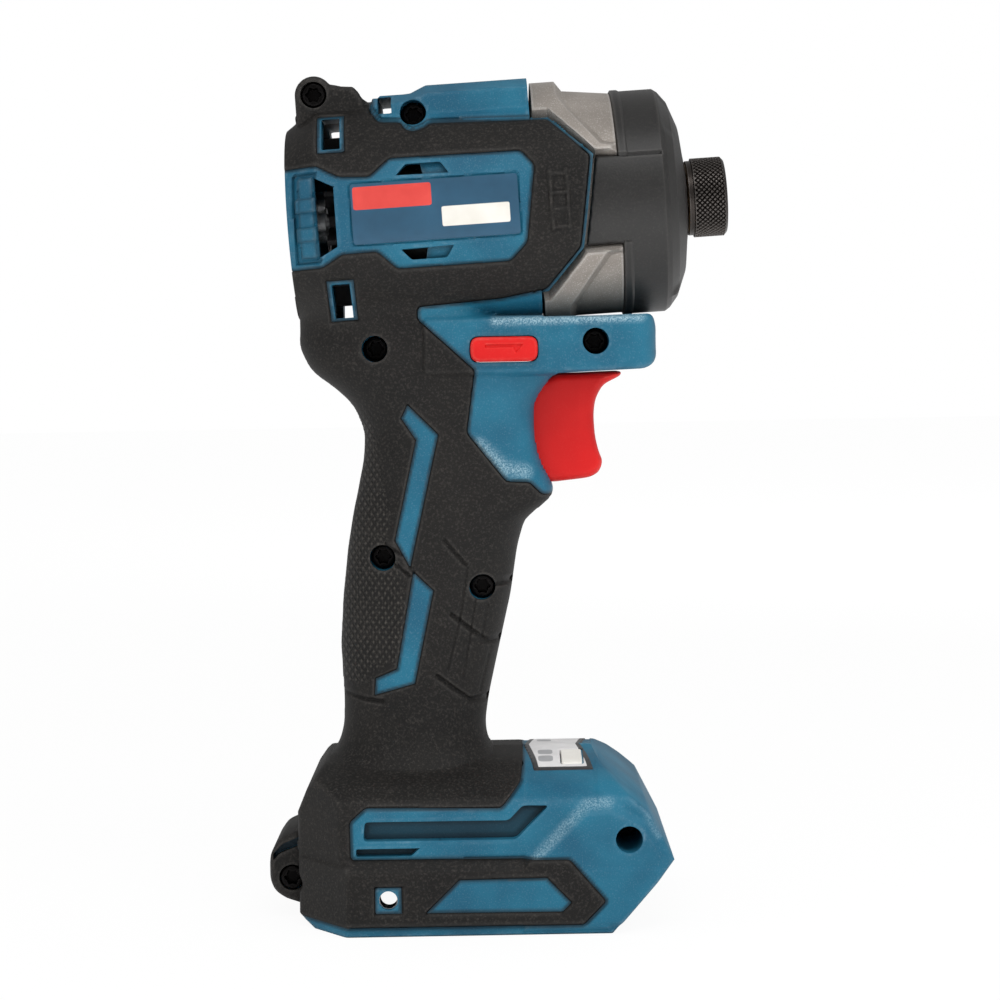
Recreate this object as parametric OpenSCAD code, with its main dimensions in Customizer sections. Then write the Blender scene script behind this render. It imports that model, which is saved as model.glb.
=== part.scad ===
// Cordless impact driver, bare: no battery and no bit.
// Millimetres, +X towards the nose, +Z up, sole of the foot at zero, halves meet at Y zero.

/* [Head] */
// Height of the head's axis above the sole, at the origin
head_z = 172.8; // [172:0.1:173.5]
// Upward tilt of the head's axis, in degrees
head_tilt = 3; // [2.5:0.1:3.5]
// Radius of the barrel
barrel_r = 29.2; // [29:0.1:30]
// Half width over the barrel's flat sides
barrel_w = 28.6; // [28.4:0.1:29.5]
// Front edge of the shell at top and bottom
shell_fore = 10.2; // [9.5:0.1:11]
// Rise of the ridge along the top
ridge_rise = 1.8; // [1:0.1:2.4]
// Radius of the screw boss at the top rear
boss_top_r = 4.6; // [4.4:0.1:5]

/* [Shell] */
// Plastic wall under the rubber
wall = 2.2; // [2:0.1:2.4]
// Thickness of the moulded-on rubber
rubber_t = 1.6; // [1.2:0.1:1.8]
// Depth of the label window below the rubber
window_drop = 0.8; // [0.5:0.1:1.1]

/* [Grip] */
// Depth of the grip, front to back
grip_d = 42; // [41:0.1:44]
// Half width of the grip
grip_w = 17; // [16.5:0.1:18]
// Span of the grip from the foot's shoulder up to the barrel
grip_h = 115; // [114:0.1:117]

/* [Bridge] */
// Front of the bridge over the trigger
bridge_front = 39.2; // [38:0.1:40]
// Middle height of the bridge
bridge_z = 140; // [139.6:0.1:140.2]
// Height of the bridge
bridge_h = 12.8; // [12.4:0.1:13.2]
// Half width of the bridge
bridge_w = 20.5; // [20:0.1:22]

/* [Foot] */
// Length of the foot behind the origin
foot_back = 50; // [49:0.1:52]
// Length of the foot ahead of the origin
foot_front = 40.3; // [39.5:0.1:42]
// Height of the foot at its crown
foot_h = 39.8; // [39.4:0.1:41]
// Half width over the lower band
foot_w = 35.2; // [34.8:0.1:37]
// Half width between the battery rails
rail_w = 25.5; // [24:0.1:26.5]
// Height of the rail lips
rail_h = 3.2; // [2.8:0.1:3.6]
// Depth of the battery slot
slot_h = 16; // [15:0.1:16.5]

/* [Motor] */
// Radius of the stator
stator_r = 20.5; // [20:0.1:20.6]
// Length of the stator core
stator_l = 15; // [13:0.1:16]
// Radius of the rotor
rotor_r = 11.2; // [10.6:0.1:11.4]
// Radius of the motor shaft
shaft_r = 2.5; // [2.3:0.1:2.6]
// Radius of the fan
fan_r = 21; // [20:0.1:22]
// Length of the fan
fan_l = 7; // [6:0.1:8]

/* [Gears and hammer] */
// Module of the gear teeth
tooth_module = 0.8; // [0.78:0.01:0.82]
// Width of the planet gears
gear_w = 6.6; // [6:0.1:7]
// Radius of the hammer
hammer_r = 21.6; // [21:0.1:21.8]
// Length of the hammer without its dogs
hammer_l = 12; // [11.6:0.1:12.6]
// Backward travel of the hammer
hammer_travel = 5.5; // [4:0.1:6]
// Length of the anvil's wings
wing_l = 4.2; // [3.8:0.1:4.6]

/* [Nose] */
// Radius of the hammer case
case_r = 25.2; // [25:0.1:25.3]
// Radius of the hammer case where it shows
land_r = 27; // [26.6:0.1:27.3]
// Radius of the rubber bumper
bumper_r = 27.8; // [27.5:0.1:28.2]
// Front end of the bumper on the head's axis
bumper_fore = 47.2; // [46.8:0.1:48]
// Radius of the bit sleeve
sleeve_r = 9.75; // [9.5:0.1:10.2]
// Length of the bit sleeve
sleeve_l = 9.6; // [9.4:0.1:10.5]
// Forward travel of the bit sleeve
sleeve_travel = 2.8; // [2.4:0.1:2.9]
// Width across the flats of the hex socket
hex_flats = 6.45; // [6.4:0.01:6.5]

/* [Controls] */
// Height of the trigger
trigger_h = 26.8; // [26:0.1:27.2]
// Half width of the trigger
trigger_w = 8.3; // [7.8:0.1:8.6]
// Pull of the trigger
trigger_travel = 5; // [4:0.1:5.4]
// Length of the direction button
button_l = 16.2; // [15:0.1:17]
// Height of the direction button
button_h = 6; // [5.4:0.1:6.4]
// Travel of the direction button to each side
button_travel = 3; // [2:0.1:3.4]

/* [Hidden] */
// Overrun of every cut
over = 1;
// Seated parts, sliding parts, running parts, and parts of different bodies side by side
fit = 0.1;
slide = 0.2;
run = 0.05;
clear = 0.3;
// Reach of a cut that passes the whole tool
reach = 2 * foot_w;
$fn = 48;

// Stations along the head's axis, from the gear case back to the rear wall
gear_x = -2.3;
bracket_t = 3.5;
bracket_x1 = gear_x - fit;
bracket_x0 = bracket_x1 - bracket_t;
front_bearing_l = 4;
front_bearing_r = 6.5;
hub_x0 = bracket_x1 - front_bearing_l - fit;
hub_wall = 2;
coil_end = 4;
coil_x1 = hub_x0 - over;
stator_x1 = coil_x1 - coil_end;
stator_x0 = stator_x1 - stator_l;
coil_x0 = stator_x0 - coil_end;
board_t = 1.5;
sensor_x0 = coil_x0 - fit - board_t;
fan_gap = 1.2;
fan_x1 = sensor_x0 - fan_gap;
fan_x0 = fan_x1 - fan_l;
rear_bearing_r = 8;
rear_bearing_l = 5;
rear_bearing_x0 = fan_x0 - fan_gap + clear - rear_bearing_l;
rear_wall_x = rear_bearing_x0 - fit;
rear_wall = 3;
head_back = rear_wall - rear_wall_x;
bore_r = barrel_w - rubber_t - wall - slide;
arm_bore_r = case_r + clear;
skin_all = wall + rubber_t;

// Stations along the head's axis, from the gear case out to the bit sleeve
ring_x0 = gear_x + fit;
ring_l = gear_w + 2 * bracket_t / 5;
planet_x0 = ring_x0 + clear + clear;
planet_x1 = planet_x0 + gear_w;
flange_t = 3.5;
flange_x0 = planet_x1 + clear;
flange_x1 = flange_x0 + flange_t;
washer_t = 1.2;
hammer_x0 = flange_x1 + hammer_travel + washer_t;
hammer_x1 = hammer_x0 + hammer_l;
wing_x0 = hammer_x1 + clear;
wing_x1 = wing_x0 + wing_l;
thrust_x1 = wing_x1 + fit + washer_t;
case_in_x1 = thrust_x1 + fit;
nose_x1 = bumper_fore - washer_t;
sleeve_x0 = bumper_fore + 2 * clear;
sleeve_x1 = sleeve_x0 + sleeve_l;

// Gear teeth
sun_teeth = 10;
planet_teeth = 19;
ring_teeth = sun_teeth + 2 * planet_teeth;
pressure = 25;
addendum_share = 0.8;
dedendum_share = 1;
flank_steps = 3;
backlash = 0.04;
sun_r = sun_teeth * tooth_module / 2;
planet_r = planet_teeth * tooth_module / 2;
ring_r = ring_teeth * tooth_module / 2;
planet_at = sun_r + planet_r;
pin_r = 2.4;

// Places on the head, as shares of its length behind the origin and of the barrel's radius
function head_pt(s) = [s[0] * head_back, s[1] * barrel_r];
function head_pts(list) = [for (s = list) head_pt(s)];
function head_at(p) = [p[0] * cos(head_tilt) - p[1] * sin(head_tilt),
    head_z + p[0] * sin(head_tilt) + p[1] * cos(head_tilt)];
shell_side_shares = [[0.241, -0.719], [0.422, -0.394], [0.496, 0.356], [0.295, 0.7]];
window_shares = [[-1.2, -0.41], [-0.84, -0.41], [-0.74, -0.315], [-0.57, -0.312], [-0.48, -0.459],
    [0.066, -0.459], [0.153, -0.318], [0.211, 0.305], [0.151, 0.432], [-0.482, 0.442], [-0.584, 0.298],
    [-0.733, 0.315], [-0.837, 0.418], [-1.2, 0.418]];
label_shares = [[-0.683, -0.25], [0.127, -0.25], [0.127, 0.25], [-0.683, 0.25]];
vent_mid_shares = [[-0.456, 0.295], [-0.408, 0.384], [-0.239, 0.384], [-0.199, 0.288]];
vent_slot_shares = [[-0.847, 0.312], [-0.755, 0.247], [-0.759, -0.25], [-0.837, -0.325]];
vent_rear_shares = [[-0.807, 0.548], [-0.719, 0.548], [-0.719, 0.822], [-0.807, 0.822]];
vent_rim_shares = [[-0.827, 0.521], [-0.697, 0.521], [-0.697, 0.842], [-0.827, 0.842]];
vent_top_shares = [[-0.53, 0.832], [-0.462, 0.832], [-0.462, 0.983], [-0.53, 0.983]];
ridge_shares = [[-0.575, 0.8], [-0.56, 0.93], [-0.37, 0.945], [-0.29, 1]];
ridge_wide_share = 0.6;
ridge_flat_share = 0.7;
ridge_edge_share = 0.92;
rear_chamfer_share = 0.16;
rear_face_share = 0.8;

// Places on the grip, as shares of its span, depth and half width: height, back, front, side, and how
// square its front half is
grip_x = -17.5;
foot_crown = 4.8;
grip_z0 = foot_h - foot_crown;
function grip_pt(s) = [grip_x + s[0] * grip_d, grip_z0 + s[1] * grip_h];
function grip_pts(list) = [for (s = list) grip_pt(s)];
grip_shares = [[-0.045, -0.69, 0.52, 1.36, 2.5], [0.002, -0.65, 0.47, 1.29, 2.5],
    [0.03, -0.614, 0.385, 1.19, 2.5], [0.052, -0.556, 0.33, 1.1, 2.5],
    [0.096, -0.524, 0.314, 1.01, 2.5], [0.157, -0.519, 0.34, 0.98, 2.5],
    [0.27, -0.533, 0.412, 0.976, 2.5], [0.374, -0.514, 0.479, 0.99, 2.5],
    [0.478, -0.481, 0.524, 1, 2.5], [0.539, -0.452, 0.574, 1.006, 3], [0.57, -0.436, 0.69, 1.012, 4],
    [0.591, -0.421, 0.75, 1.02, 5], [0.617, -0.407, 0.733, 1.03, 5], [0.67, -0.376, 0.664, 1.06, 5],
    [0.73, -0.367, 0.636, 1.08, 5], [0.787, -0.429, 0.64, 1.106, 5], [0.822, -0.526, 0.698, 1.13, 5],
    [0.861, -0.674, 0.798, 1.14, 5], [0.913, -0.743, 0.845, 1.147, 5], [0.983, -0.735, 0.75, 1.118, 5],
    [1.052, -0.738, 0.607, 1.06, 5]];
grip_sides = 12;
grip_round = 2.5;
bridge_corner_share = 0.85;
stripe_shares = [[[-0.095, 0.788], [0.076, 0.724], [-0.1, 0.446], [-0.183, 0.502], [-0.05, 0.714],
    [-0.133, 0.76]], [[-0.081, 0.435], [0.031, 0.395], [-0.086, 0.199], [-0.319, 0.175],
    [-0.312, 0.21], [-0.186, 0.23]]];

// Places on the foot, as shares of its length from the rear and of its height
foot_l = foot_back + foot_front;
function foot_pt(s) = [s[0] * foot_l - foot_back, s[1] * foot_h];
function foot_pts(list) = [for (s = list) foot_pt(s)];
foot_side_shares = [[0.044, 0], [0.834, 0], [1, 0.427], [0.937, 0.714], [0.795, 1], [0.1, 1],
    [0.068, 0.96], [0.028, 0.84], [0, 0.69], [0, 0.063]];
foot_plan_shares = [[0, 0], [0, 0.54], [0.15, 1], [0.95, 1], [1, 0.91], [1, 0]];
foot_cross_shares = [[0, 0], [0.955, 0], [0.955, 0.055], [1, 0.063], [1, 0.387], [0.923, 0.46],
    [0.923, 0.754], [0.895, 0.809], [0.753, 0.887], [0.4, 0.98], [0, 1]];
foot_nose_shares = [[0.585, 0], [0.585, 0.43], [0.764, 0.77], [0.84, 0.78], [0.93, 0.66], [1, 0.427],
    [0.834, 0]];
foot_nose_in_share = 0.045;
foot_nose_wide_share = 0.985;
foot_nose_w = foot_nose_wide_share * foot_w;

// Edge of the rubber: over the head, down the front of the grip and along the foot
head_edge_shares = [[-1.2, 1.4], [-0.585, 1.4], [-0.575, 0.88], [-0.53, 0.76], [-0.42, 0.745],
    [-0.406, 0.685], [-0.361, 0.655], [-0.305, 0.685], [-0.28, 0.72], [0.286, 0.67], [0.474, 0.345],
    [0.4, -0.385], [0.229, -0.69], [0.008, -0.753], [-0.4, -0.777]];
grip_edge_shares = [[-0.026, 0.968], [0.298, 0.859], [0.245, 0.728], [0.467, 0.624], [0.6, 0.622],
    [0.671, 0.595], [0.9, 0.59], [0.9, 0.054], [0.54, 0.054]];
foot_edge_shares = [[0.6, 0.89], [0.547, 0.757], [0.19, 0.769], [0.149, 0.686], [0.151, 0.462],
    [0.724, 0.455], [0.82, 0.204], [0.759, 0.063], [-0.4, 0.063]];
inlay_shares = [[0.348, 0.151], [0.435, 0.344], [0.663, 0.347], [0.727, 0.198], [0.703, 0.146]];
hook_pt_share = [0.248, 0.229];
hook_square = 6.2;
hook_bore_r = 2.05;
hook_nut_r = 2.9;
slot_lip_share = 0.4124;
hook_nut_share = 0.7895;
hook_nut_l = hook_nut_share * (1 - slot_lip_share) * (foot_w - rail_w);
foot_slot_shares = [[0.188, 0.688], [0.566, 0.686], [0.602, 0.771], [0.672, 0.769], [0.585, 0.57],
    [0.184, 0.573]];
foot_slot_depth = 1.2;
slot_floor = 2;
panel_shares = [[0.614, 0], [0.637, 0.54], [0.787, 0.54], [0.765, 0]];
panel_t = 1.2;
key_shares = [[0.711, 0.162], [0.768, 0.162], [0.768, 0.497], [0.711, 0.497]];
key_stem = 2.4;
key_travel = 0.5;
key_at = [(key_shares[0][0] + key_shares[1][0]) / 2 * foot_l - foot_back,
    -(key_shares[0][1] + key_shares[2][1]) / 2 * foot_w];
label_t = 0.5;

// Lanyard ears at the rear of the foot
ear_gap = 5.5;
ear_t = 7.5;
ear_r = 5.6;
ear_pt_share = [-0.0244, 0.256];
ear_low_share = [0.1, 0.045];
ear_high_shares = [[0.02, 0.46], [0.1, 0.46]];

// Screws: place, depth of the head's seat, length of the boss, radius of the boss
screw_head_r = 2.9;
screw_head_h = 2.4;
screw_r = 1.7;
screw_hole_r = 3.2;
screw_reach = 9;
screw_recess_r = 1.5;
boss_r = 4.4;
top_screw_x = -17.7;
top_screw_r = 3.3;
bridge_screw_x = 24.1;
boss_top_l = 13;
top_screw_pt = head_at([top_screw_x, stator_r + top_screw_r + clear]);
rear_boss_pt = head_at(head_pt([-0.843, 1.045]));
ear_pt = foot_pt(ear_pt_share);
grip_boss_l = grip_w - 2 * rubber_t;
screws = [[top_screw_pt, barrel_w / 3, barrel_w / 2, top_screw_r],
    [rear_boss_pt, boss_top_l - screw_head_h - clear, 0, 0],
    [grip_pt([-0.279, 0.907]), grip_w / 2, grip_boss_l, boss_r],
    [[bridge_screw_x, bridge_z + clear], bridge_w / 2, bridge_w - wall, top_screw_r + wall / 4],
    [grip_pt([-0.26, 0.465]), grip_w / 2, grip_boss_l, boss_r],
    [grip_pt([0.314, 0.399]), grip_w / 2, grip_boss_l, boss_r],
    [foot_pt([0.88, 0.568]), 2 * foot_w / 5, foot_w - skin_all, boss_r],
    [ear_pt, ear_gap + 2 * ear_t / 3, 0, 0]];

// Hollows and ribs of the shell
room_z0 = slot_h + slot_floor;
slot_wall = 8;
slot_rear = slot_wall - foot_back;
slot_lip = slot_lip_share * (foot_w - rail_w);
rib_t = 1.6;
rib_xs = [stator_x0 + rib_t, stator_x1 - 2 * rib_t];
seat_wall = 2.4;
vent_depth_share = 0.3;

// Hammer case and bumper
case_bore_r = hammer_r + 3 * clear;
case_tail_r = bore_r - fit;
nose_r = 12.5;
nose_wall = 3.6;
case_slope = 4;
bumper_x0 = 30.3;
raised_r = barrel_r + ridge_rise / 2;
raised_l = 8;
tongue_shares = [[0.436, -0.385], [0.508, 0.345], [0.64, 0.325], [0.64, -0.375]];
bumper_dome_shares = [[1, -0.13], [0.97, -0.105], [0.88, -0.064], [0.68, -0.02], [0.42, 0]];
bush_r = 9.8;
anvil_r = 7.2;

// Motor
stator_yoke = 3.2;
stator_poles = 6;
pole_w = 5.2;
pole_gap = 0.6;
shoe_t = 1.6;
shoe_angle = 44;
coil_t = 2.4;
magnet_t = 1.7;
magnet_angle = 80;
fan_blades = 11;
blade_t = 1.2;
fan_hub_r = 7;
fan_back = 1.5;

// Spindle, hammer and their spring
spindle_r = 7.4;
flange_r = 16.4;
pilot_r = 3.4;
cam_ball_r = 2.2;
cam_share = 0.62;
cam_x = hammer_x0 + cam_share * hammer_l;
recess_in = 11;
recess_out = 17.2;
recess_d = 7.4;
spring_wire = 1;
spring_curls = 3;
dog_w = 9;
dog_l = 3.6;
wing_w = 8.6;

// Facets of a wire coil: sections in each curl and sides of the wire
coil_rings = 8;
coil_sides = 6;

// Bit holder
neck_r = 6;
hex_depth = 22.5;
ball_r = 1.55;
ball_x = sleeve_x0 + ball_r + fit;
lock_l = sleeve_travel + slide;
clip_t = 0.8;
clip_x0 = sleeve_x1 - clip_t - clear;
clip_depth = 0.5;
ring_t = 0.7;
room_r = 8.3;
sleeve_wire = 0.35;
sleeve_curls = 2.5;

// Trigger and switch
trigger_x = 4;
trigger_d = 27;
trigger_z = 105.8;
trigger_shares = [[0, 0.052], [0.337, 0], [0.696, 0.037], [0.781, 0.086], [0.815, 0.183], [0.778, 0.27],
    [0.744, 0.414], [0.733, 0.612], [0.752, 0.757], [0.826, 0.888], [1, 0.966], [0.993, 1], [0.4, 1],
    [0.3, 0.955], [0, 0.955]];
trigger_plan_shares = [[0, 1], [0.66, 1], [0.78, 0.72], [1, 0.5]];
plunger_r = 2.5;
plunger_back = 12;
plunger_in = 4;
switch_l = 18;
switch_w = 9;
switch_h = 22;
spring_solid = 2.4;
switch_x1 = trigger_x - trigger_travel - spring_solid;
switch_x0 = switch_x1 - switch_l;
switch_rise = 2.4;
switch_z0 = trigger_z + switch_rise;
trigger_wire = 0.4;
trigger_coil_r = 4;
trigger_curls = 4;

// Direction button
button_x = 2;
button_drop = 1.3;
button_pt = [button_x, bridge_z - button_drop];
button_out = 1.7;
button_in = button_travel + wall + clear;
bar_l = 6;
bar_h = 4;

// Lamp at the front of the bridge
lamp_w = 4.8;
lamp_h = 5.4;
lamp_l = 2.6;
lamp_drop = 0.6;
lamp_z = bridge_z - lamp_drop;

// Electronics in the foot
block_x0 = -26;
block_l = 30;
block_w = 13;
block_low = 7;
block_rim = 2;
block_rim_t = 1.5;
blade_l = 20;
blade_h = 3.4;
contact_t = 0.8;
contact_ys = [-10, -3.4, 3.4, 10];
tray_x0 = -38;
tray_l = 54;
tray_w = 22;
tray_h = 7.5;
tray_t = 1.5;
tray_z0 = room_z0 + block_rim_t + fit;
sink_l = 12;
sink_w = 16;
sink_h = 5.8;
sink_fin = 1.4;
panel_board_w = 15.5;
board_drop = 2;
panel_board_z = foot_h - skin_all - board_drop;

// Leads: radius and routes
lead_r = 1.2;
lead_sides = 8;
lead_z0 = tray_z0 + tray_t + fit + board_t + fit;
motor_lead_ys = [-5, 0, 5];
motor_lead_x = -16;
motor_lead_shares = [[0.012, 0.087], [-0.012, 0.304], [-0.012, 0.478], [-0.085, 0.6], [-0.19, 0.687],
    [-0.183, 0.774], [-0.1, 0.862], [-0.085, 0.922], [-0.179, 0.961], [-0.286, 0.974]];
motor_lead_route = concat([[motor_lead_x, lead_z0]], grip_pts(motor_lead_shares),
    [head_at([sensor_x0, -stator_r - 3 * clear])]);
switch_lead_ys = [-4, 4];
switch_lead_x = -10;
switch_lead_shares = [[0.131, 0.087], [0.083, 0.304], [0.107, 0.496]];
switch_lead_route = concat([[switch_lead_x, lead_z0]], grip_pts(switch_lead_shares),
    [[switch_x1 - switch_l / 8, switch_z0 - 2 * clear]]);

// Prism over the right half from an outline in X and Z
module side_prism(w) {
    rotate([90, 0, 0])
        linear_extrude(w)
            children();
}

// Prism along X from an outline in Y and Z
module long_prism(l) {
    rotate([90, 0, 90])
        linear_extrude(l)
            children();
}

// Cylinder along X from one station to another
module rod(r, x0, x1) {
    translate([x0, 0, 0])
        rotate([0, 90, 0])
            cylinder(r = r, h = x1 - x0);
}

// Cylinder along Y at a place in X and Z
module cross_rod(p, r, y0, y1) {
    translate([p[0], y1, p[1]])
        rotate([90, 0, 0])
            cylinder(r = r, h = y1 - y0);
}

// Turned piece about the head's axis from a profile of radius and station
module turned(profile) {
    rotate([0, 90, 0])
        rotate_extrude()
            polygon(profile);
}

// Box between two corners
module block(a, b) {
    translate(a)
        cube(b - a);
}

module in_head() {
    translate([0, 0, head_z])
        rotate([0, -head_tilt, 0])
            children();
}

module mirrored() {
    mirror([0, 1, 0])
        children();
}

// Barrel of the right half, drawn in by a skin thickness
module barrel(skin) {
    back = skin - head_back;
    fore = head_back * shell_side_shares[2][0];
    side = head_pts(shell_side_shares);
    high = 2 * barrel_r;
    in_head()
        intersection() {
            turned([[0, back], [rear_face_share * barrel_r - skin, back],
                [barrel_r - skin, rear_chamfer_share * head_back - head_back + skin],
                [barrel_r - skin, fore], [0, fore]]);
            side_prism(barrel_w - skin)
                polygon(concat([[back, -high], [shell_fore, -high], [shell_fore, side[0][1]]], side,
                    [[shell_fore, side[3][1]], [shell_fore, high], [back, high]]));
        }
}

// Raised ridge along the top of the right half
module ridge(skin) {
    top = barrel_r + ridge_rise - skin;
    pts = [for (s = ridge_shares) [s[0] * head_back, s[1] * top]];
    half = ridge_wide_share * barrel_w;
    in_head()
        intersection() {
            side_prism(half)
                polygon(concat(pts, [[shell_fore, top], [shell_fore, pts[0][1]]]));
            translate([-head_back, 0, 0])
                long_prism(2 * head_back)
                    polygon([[0, 0], [0, top], [skin - ridge_flat_share * half, top],
                        [skin - half, ridge_edge_share * top], [skin - half, 0]]);
        }
}

// Ring of the grip at one station, from its front round the right side to its back
function grip_ring(s, skin) = [for (i = [0 : grip_sides])
    let (a = 180 * i / grip_sides, c = cos(a), q = sin(a), n = c > 0 ? s[4] : grip_round,
        back = grip_x + s[1] * grip_d + skin, front = grip_x + s[2] * grip_d - skin)
    [(front + back) / 2 + (front - back) / 2 * sign(c) * pow(abs(c), 2 / n),
        -(s[3] * grip_w - skin) * pow(q, 2 / n), grip_z0 + s[0] * grip_h]];

// Right half of the grip as one skin over its rings
module grip(skin) {
    n = grip_sides + 1;
    rings = len(grip_shares);
    points = [for (s = grip_shares) each grip_ring(s, skin)];
    walls = [for (j = [0 : rings - 2]) for (i = [0 : n - 2])
        for (f = [[j * n + i, j * n + i + 1, (j + 1) * n + i],
            [j * n + i + 1, (j + 1) * n + i + 1, (j + 1) * n + i]]) f];
    seam = [for (j = [0 : rings - 2]) [j * n, (j + 1) * n, (j + 1) * n + n - 1, j * n + n - 1]];
    bottom = [for (i = [n - 1 : -1 : 0]) i];
    top = [for (i = [0 : n - 1]) (rings - 1) * n + i];
    polyhedron(points, concat(walls, seam, [bottom, top]));
}

// Bridge over the trigger, right half
module bridge(skin) {
    low = bridge_z - bridge_h / 2 + skin;
    high = bridge_z + bridge_h / 2 - skin;
    front = bridge_front - skin;
    lip = bridge_h / 4;
    intersection() {
        side_prism(bridge_w - skin)
            polygon([[grip_x, low], [front - lip, low], [front - lip / 3, low + lip / 2],
                [front, low + lip], [front, high - lip], [front - lip / 3, high], [grip_x, high]]);
        translate([0, 0, low])
            linear_extrude(high - low)
                polygon([[grip_x, 0], [front, 0], [front, -bridge_w / 2],
                    [front - lip, skin - bridge_corner_share * bridge_w],
                    [front - 2 * lip, skin - bridge_w], [grip_x, skin - bridge_w]]);
    }
}

// Foot of the right half
module foot(skin) {
    wide = foot_w - skin;
    intersection() {
        side_prism(wide)
            offset(delta = -skin)
                polygon(foot_pts(foot_side_shares));
        linear_extrude(foot_h)
            polygon([for (s = foot_plan_shares) [s[0] * foot_l - foot_back, -s[1] * wide]]);
        union() {
            translate([-foot_back, 0, 0])
                long_prism(foot_l)
                    polygon([for (s = foot_cross_shares)
                        [-s[0] * wide, s[1] * foot_h - min(skin, s[1] * foot_h)]]);
            foot_nose(skin);
        }
    }
}

// Proud block at the front of the foot, with its bevel
module foot_nose(skin) {
    inset = foot_nose_in_share * foot_l;
    hull() {
        side_prism(foot_cross_shares[6][0] * foot_w - skin)
            polygon(foot_pts(foot_nose_shares));
        side_prism(foot_nose_w - skin)
            offset(delta = -inset / 2)
                polygon(foot_pts(foot_nose_shares));
    }
}

// Lanyard ear of the right half
module ear(skin) {
    translate([0, -ear_gap, 0])
        side_prism(ear_t - skin)
            polygon(concat([foot_pt(ear_low_share) + [0, skin]],
                [for (a = [-120 : -20 : -200]) ear_pt + (ear_r - skin) * [cos(a), sin(a)]],
                [for (s = ear_high_shares) foot_pt(s) - [0, skin]]));
}

// Outside of the right half, drawn in by a skin thickness
module body(skin) {
    barrel(skin);
    ridge(skin);
    grip(skin);
    foot(skin);
    ear(skin);
    top_boss(skin);
}

// Screw boss at the top rear, on its web
module top_boss(skin) {
    r = boss_top_r - skin;
    cross_rod(rear_boss_pt, r, skin - boss_top_l, 0);
    translate([rear_boss_pt[0], 0, rear_boss_pt[1]])
        side_prism(boss_top_l - skin)
            polygon([[-r, 0], [r, 0], [r, -2 * boss_top_r], [-r, -2 * boss_top_r]]);
}

// Outline laid on the side of the head
module head_flat() {
    translate([0, head_z])
        rotate(head_tilt)
            children();
}

// Rear vent and its rim, above and below the axis
module both_levels() {
    children();
    mirror([0, 1])
        children();
}

// Side outline of the rubber, without the places where the shell shows
module rubber_zone() {
    difference() {
        polygon(concat([for (s = head_edge_shares) head_at(head_pt(s))], grip_pts(grip_edge_shares),
            foot_pts(foot_edge_shares)));
        head_flat() {
            polygon(head_pts(window_shares));
            both_levels()
                polygon(head_pts(vent_rim_shares));
        }
        for (stripe = stripe_shares)
            polygon(grip_pts(stripe));
        polygon(foot_pts(inlay_shares));
        translate(foot_pt(hook_pt_share))
            square(hook_square, center = true);
    }
}

// Room that the rubber takes out of the shell
module rubber_room() {
    difference() {
        side_prism(reach)
            rubber_zone();
        body(rubber_t);
    }
}

// Hollow inside the right half
module hollow() {
    in_head() {
        rod(bore_r, rear_wall_x, shell_fore + over);
        rod(arm_bore_r, shell_fore, head_back);
    }
    grip(skin_all);
    bridge(wall);
    intersection() {
        foot(skin_all);
        block([-foot_back, -foot_w, room_z0], [foot_front, 0, foot_h]);
    }
}

// Air vents through the right half
module vents() {
    in_head() {
        translate([0, -vent_depth_share * barrel_w, 0])
            side_prism(reach) {
                both_levels() {
                    polygon(head_pts(vent_mid_shares));
                    polygon(head_pts(vent_rear_shares));
                }
                polygon(head_pts(vent_slot_shares));
                polygon(head_pts(vent_top_shares));
            }
    }
}

// Slot between the rails for a sliding battery
module battery_slot() {
    block([slot_rear, -rail_w - slot_lip, rail_h], [foot_front + over, over, slot_h]);
    block([slot_rear, -rail_w, -over], [foot_front + over, over, slot_h]);
    block([block_x0 - slide, -block_w - slide, slot_h - over],
        [block_x0 + block_l + slide, over, room_z0 + over]);
}

// Ribs that hold the motor, its rear bearing and the switch
module ribs() {
    in_head()
        intersection() {
            union() {
                for (x = rib_xs)
                    ring(stator_r + fit, bore_r + wall / 2, x, x + rib_t);
                ring(rear_bearing_r + fit, rear_bearing_r + seat_wall, rear_wall_x - wall / 2,
                    rear_bearing_x0 + rear_bearing_l - over);
            }
            block([-head_back, -2 * barrel_r, -barrel_r], [head_back, 0, barrel_r]);
        }
    for (z = [switch_z0 - fit - rib_t, switch_z0 + switch_h + fit])
        block([switch_x0 + switch_l / 4, rubber_t - grip_w, z],
            [switch_x1 - switch_l / 4, -switch_w / 3, z + rib_t]);
}

// Screw bosses inside the right half
module bosses() {
    intersection() {
        for (s = screws)
            if (s[3] > 0)
                cross_rod(s[0], s[3], -s[2], 0);
        union() {
            body(rubber_t + fit);
            bridge(fit);
        }
    }
}

// Screw holes: deep seats in the right half, pilots in the left half
module screw_holes(pilot) {
    for (s = screws)
        if (pilot) {
            cross_rod(s[0], screw_r + run, -screw_reach - over, over);
        } else {
            cross_rod(s[0], screw_hole_r, -reach, -s[1]);
            cross_rod(s[0], screw_r + slide, -s[1] - over, over);
        }
}

// Openings for the controls, the lamp, the nuts and the nose
module openings() {
    block([trigger_x - trigger_travel - over, -trigger_w - clear, trigger_z - slide],
        [bridge_front, over, trigger_z + trigger_h + slide]);
    block([button_pt[0] - button_l / 2 - slide, -reach, button_pt[1] - button_h / 2 - slide],
        [button_pt[0] + button_l / 2 + slide, over, button_pt[1] + button_h / 2 + slide]);
    block([bridge_front - 2 * lamp_l - wall, -lamp_w - fit, lamp_z - lamp_h / 2 - fit],
        [bridge_front + over, over, lamp_z + lamp_h / 2 + fit]);
    cross_rod(foot_pt(hook_pt_share), hook_nut_r + fit, -rail_w - slot_lip - hook_nut_l, -rail_w);
    cross_rod(foot_pt(hook_pt_share), hook_bore_r + slide, -reach, -rail_w);
    in_head() {
        rod(land_r + clear, shell_fore, bumper_x0);
        rod(bumper_r + clear, bumper_x0 - fit, bumper_fore);
    }
}

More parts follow.
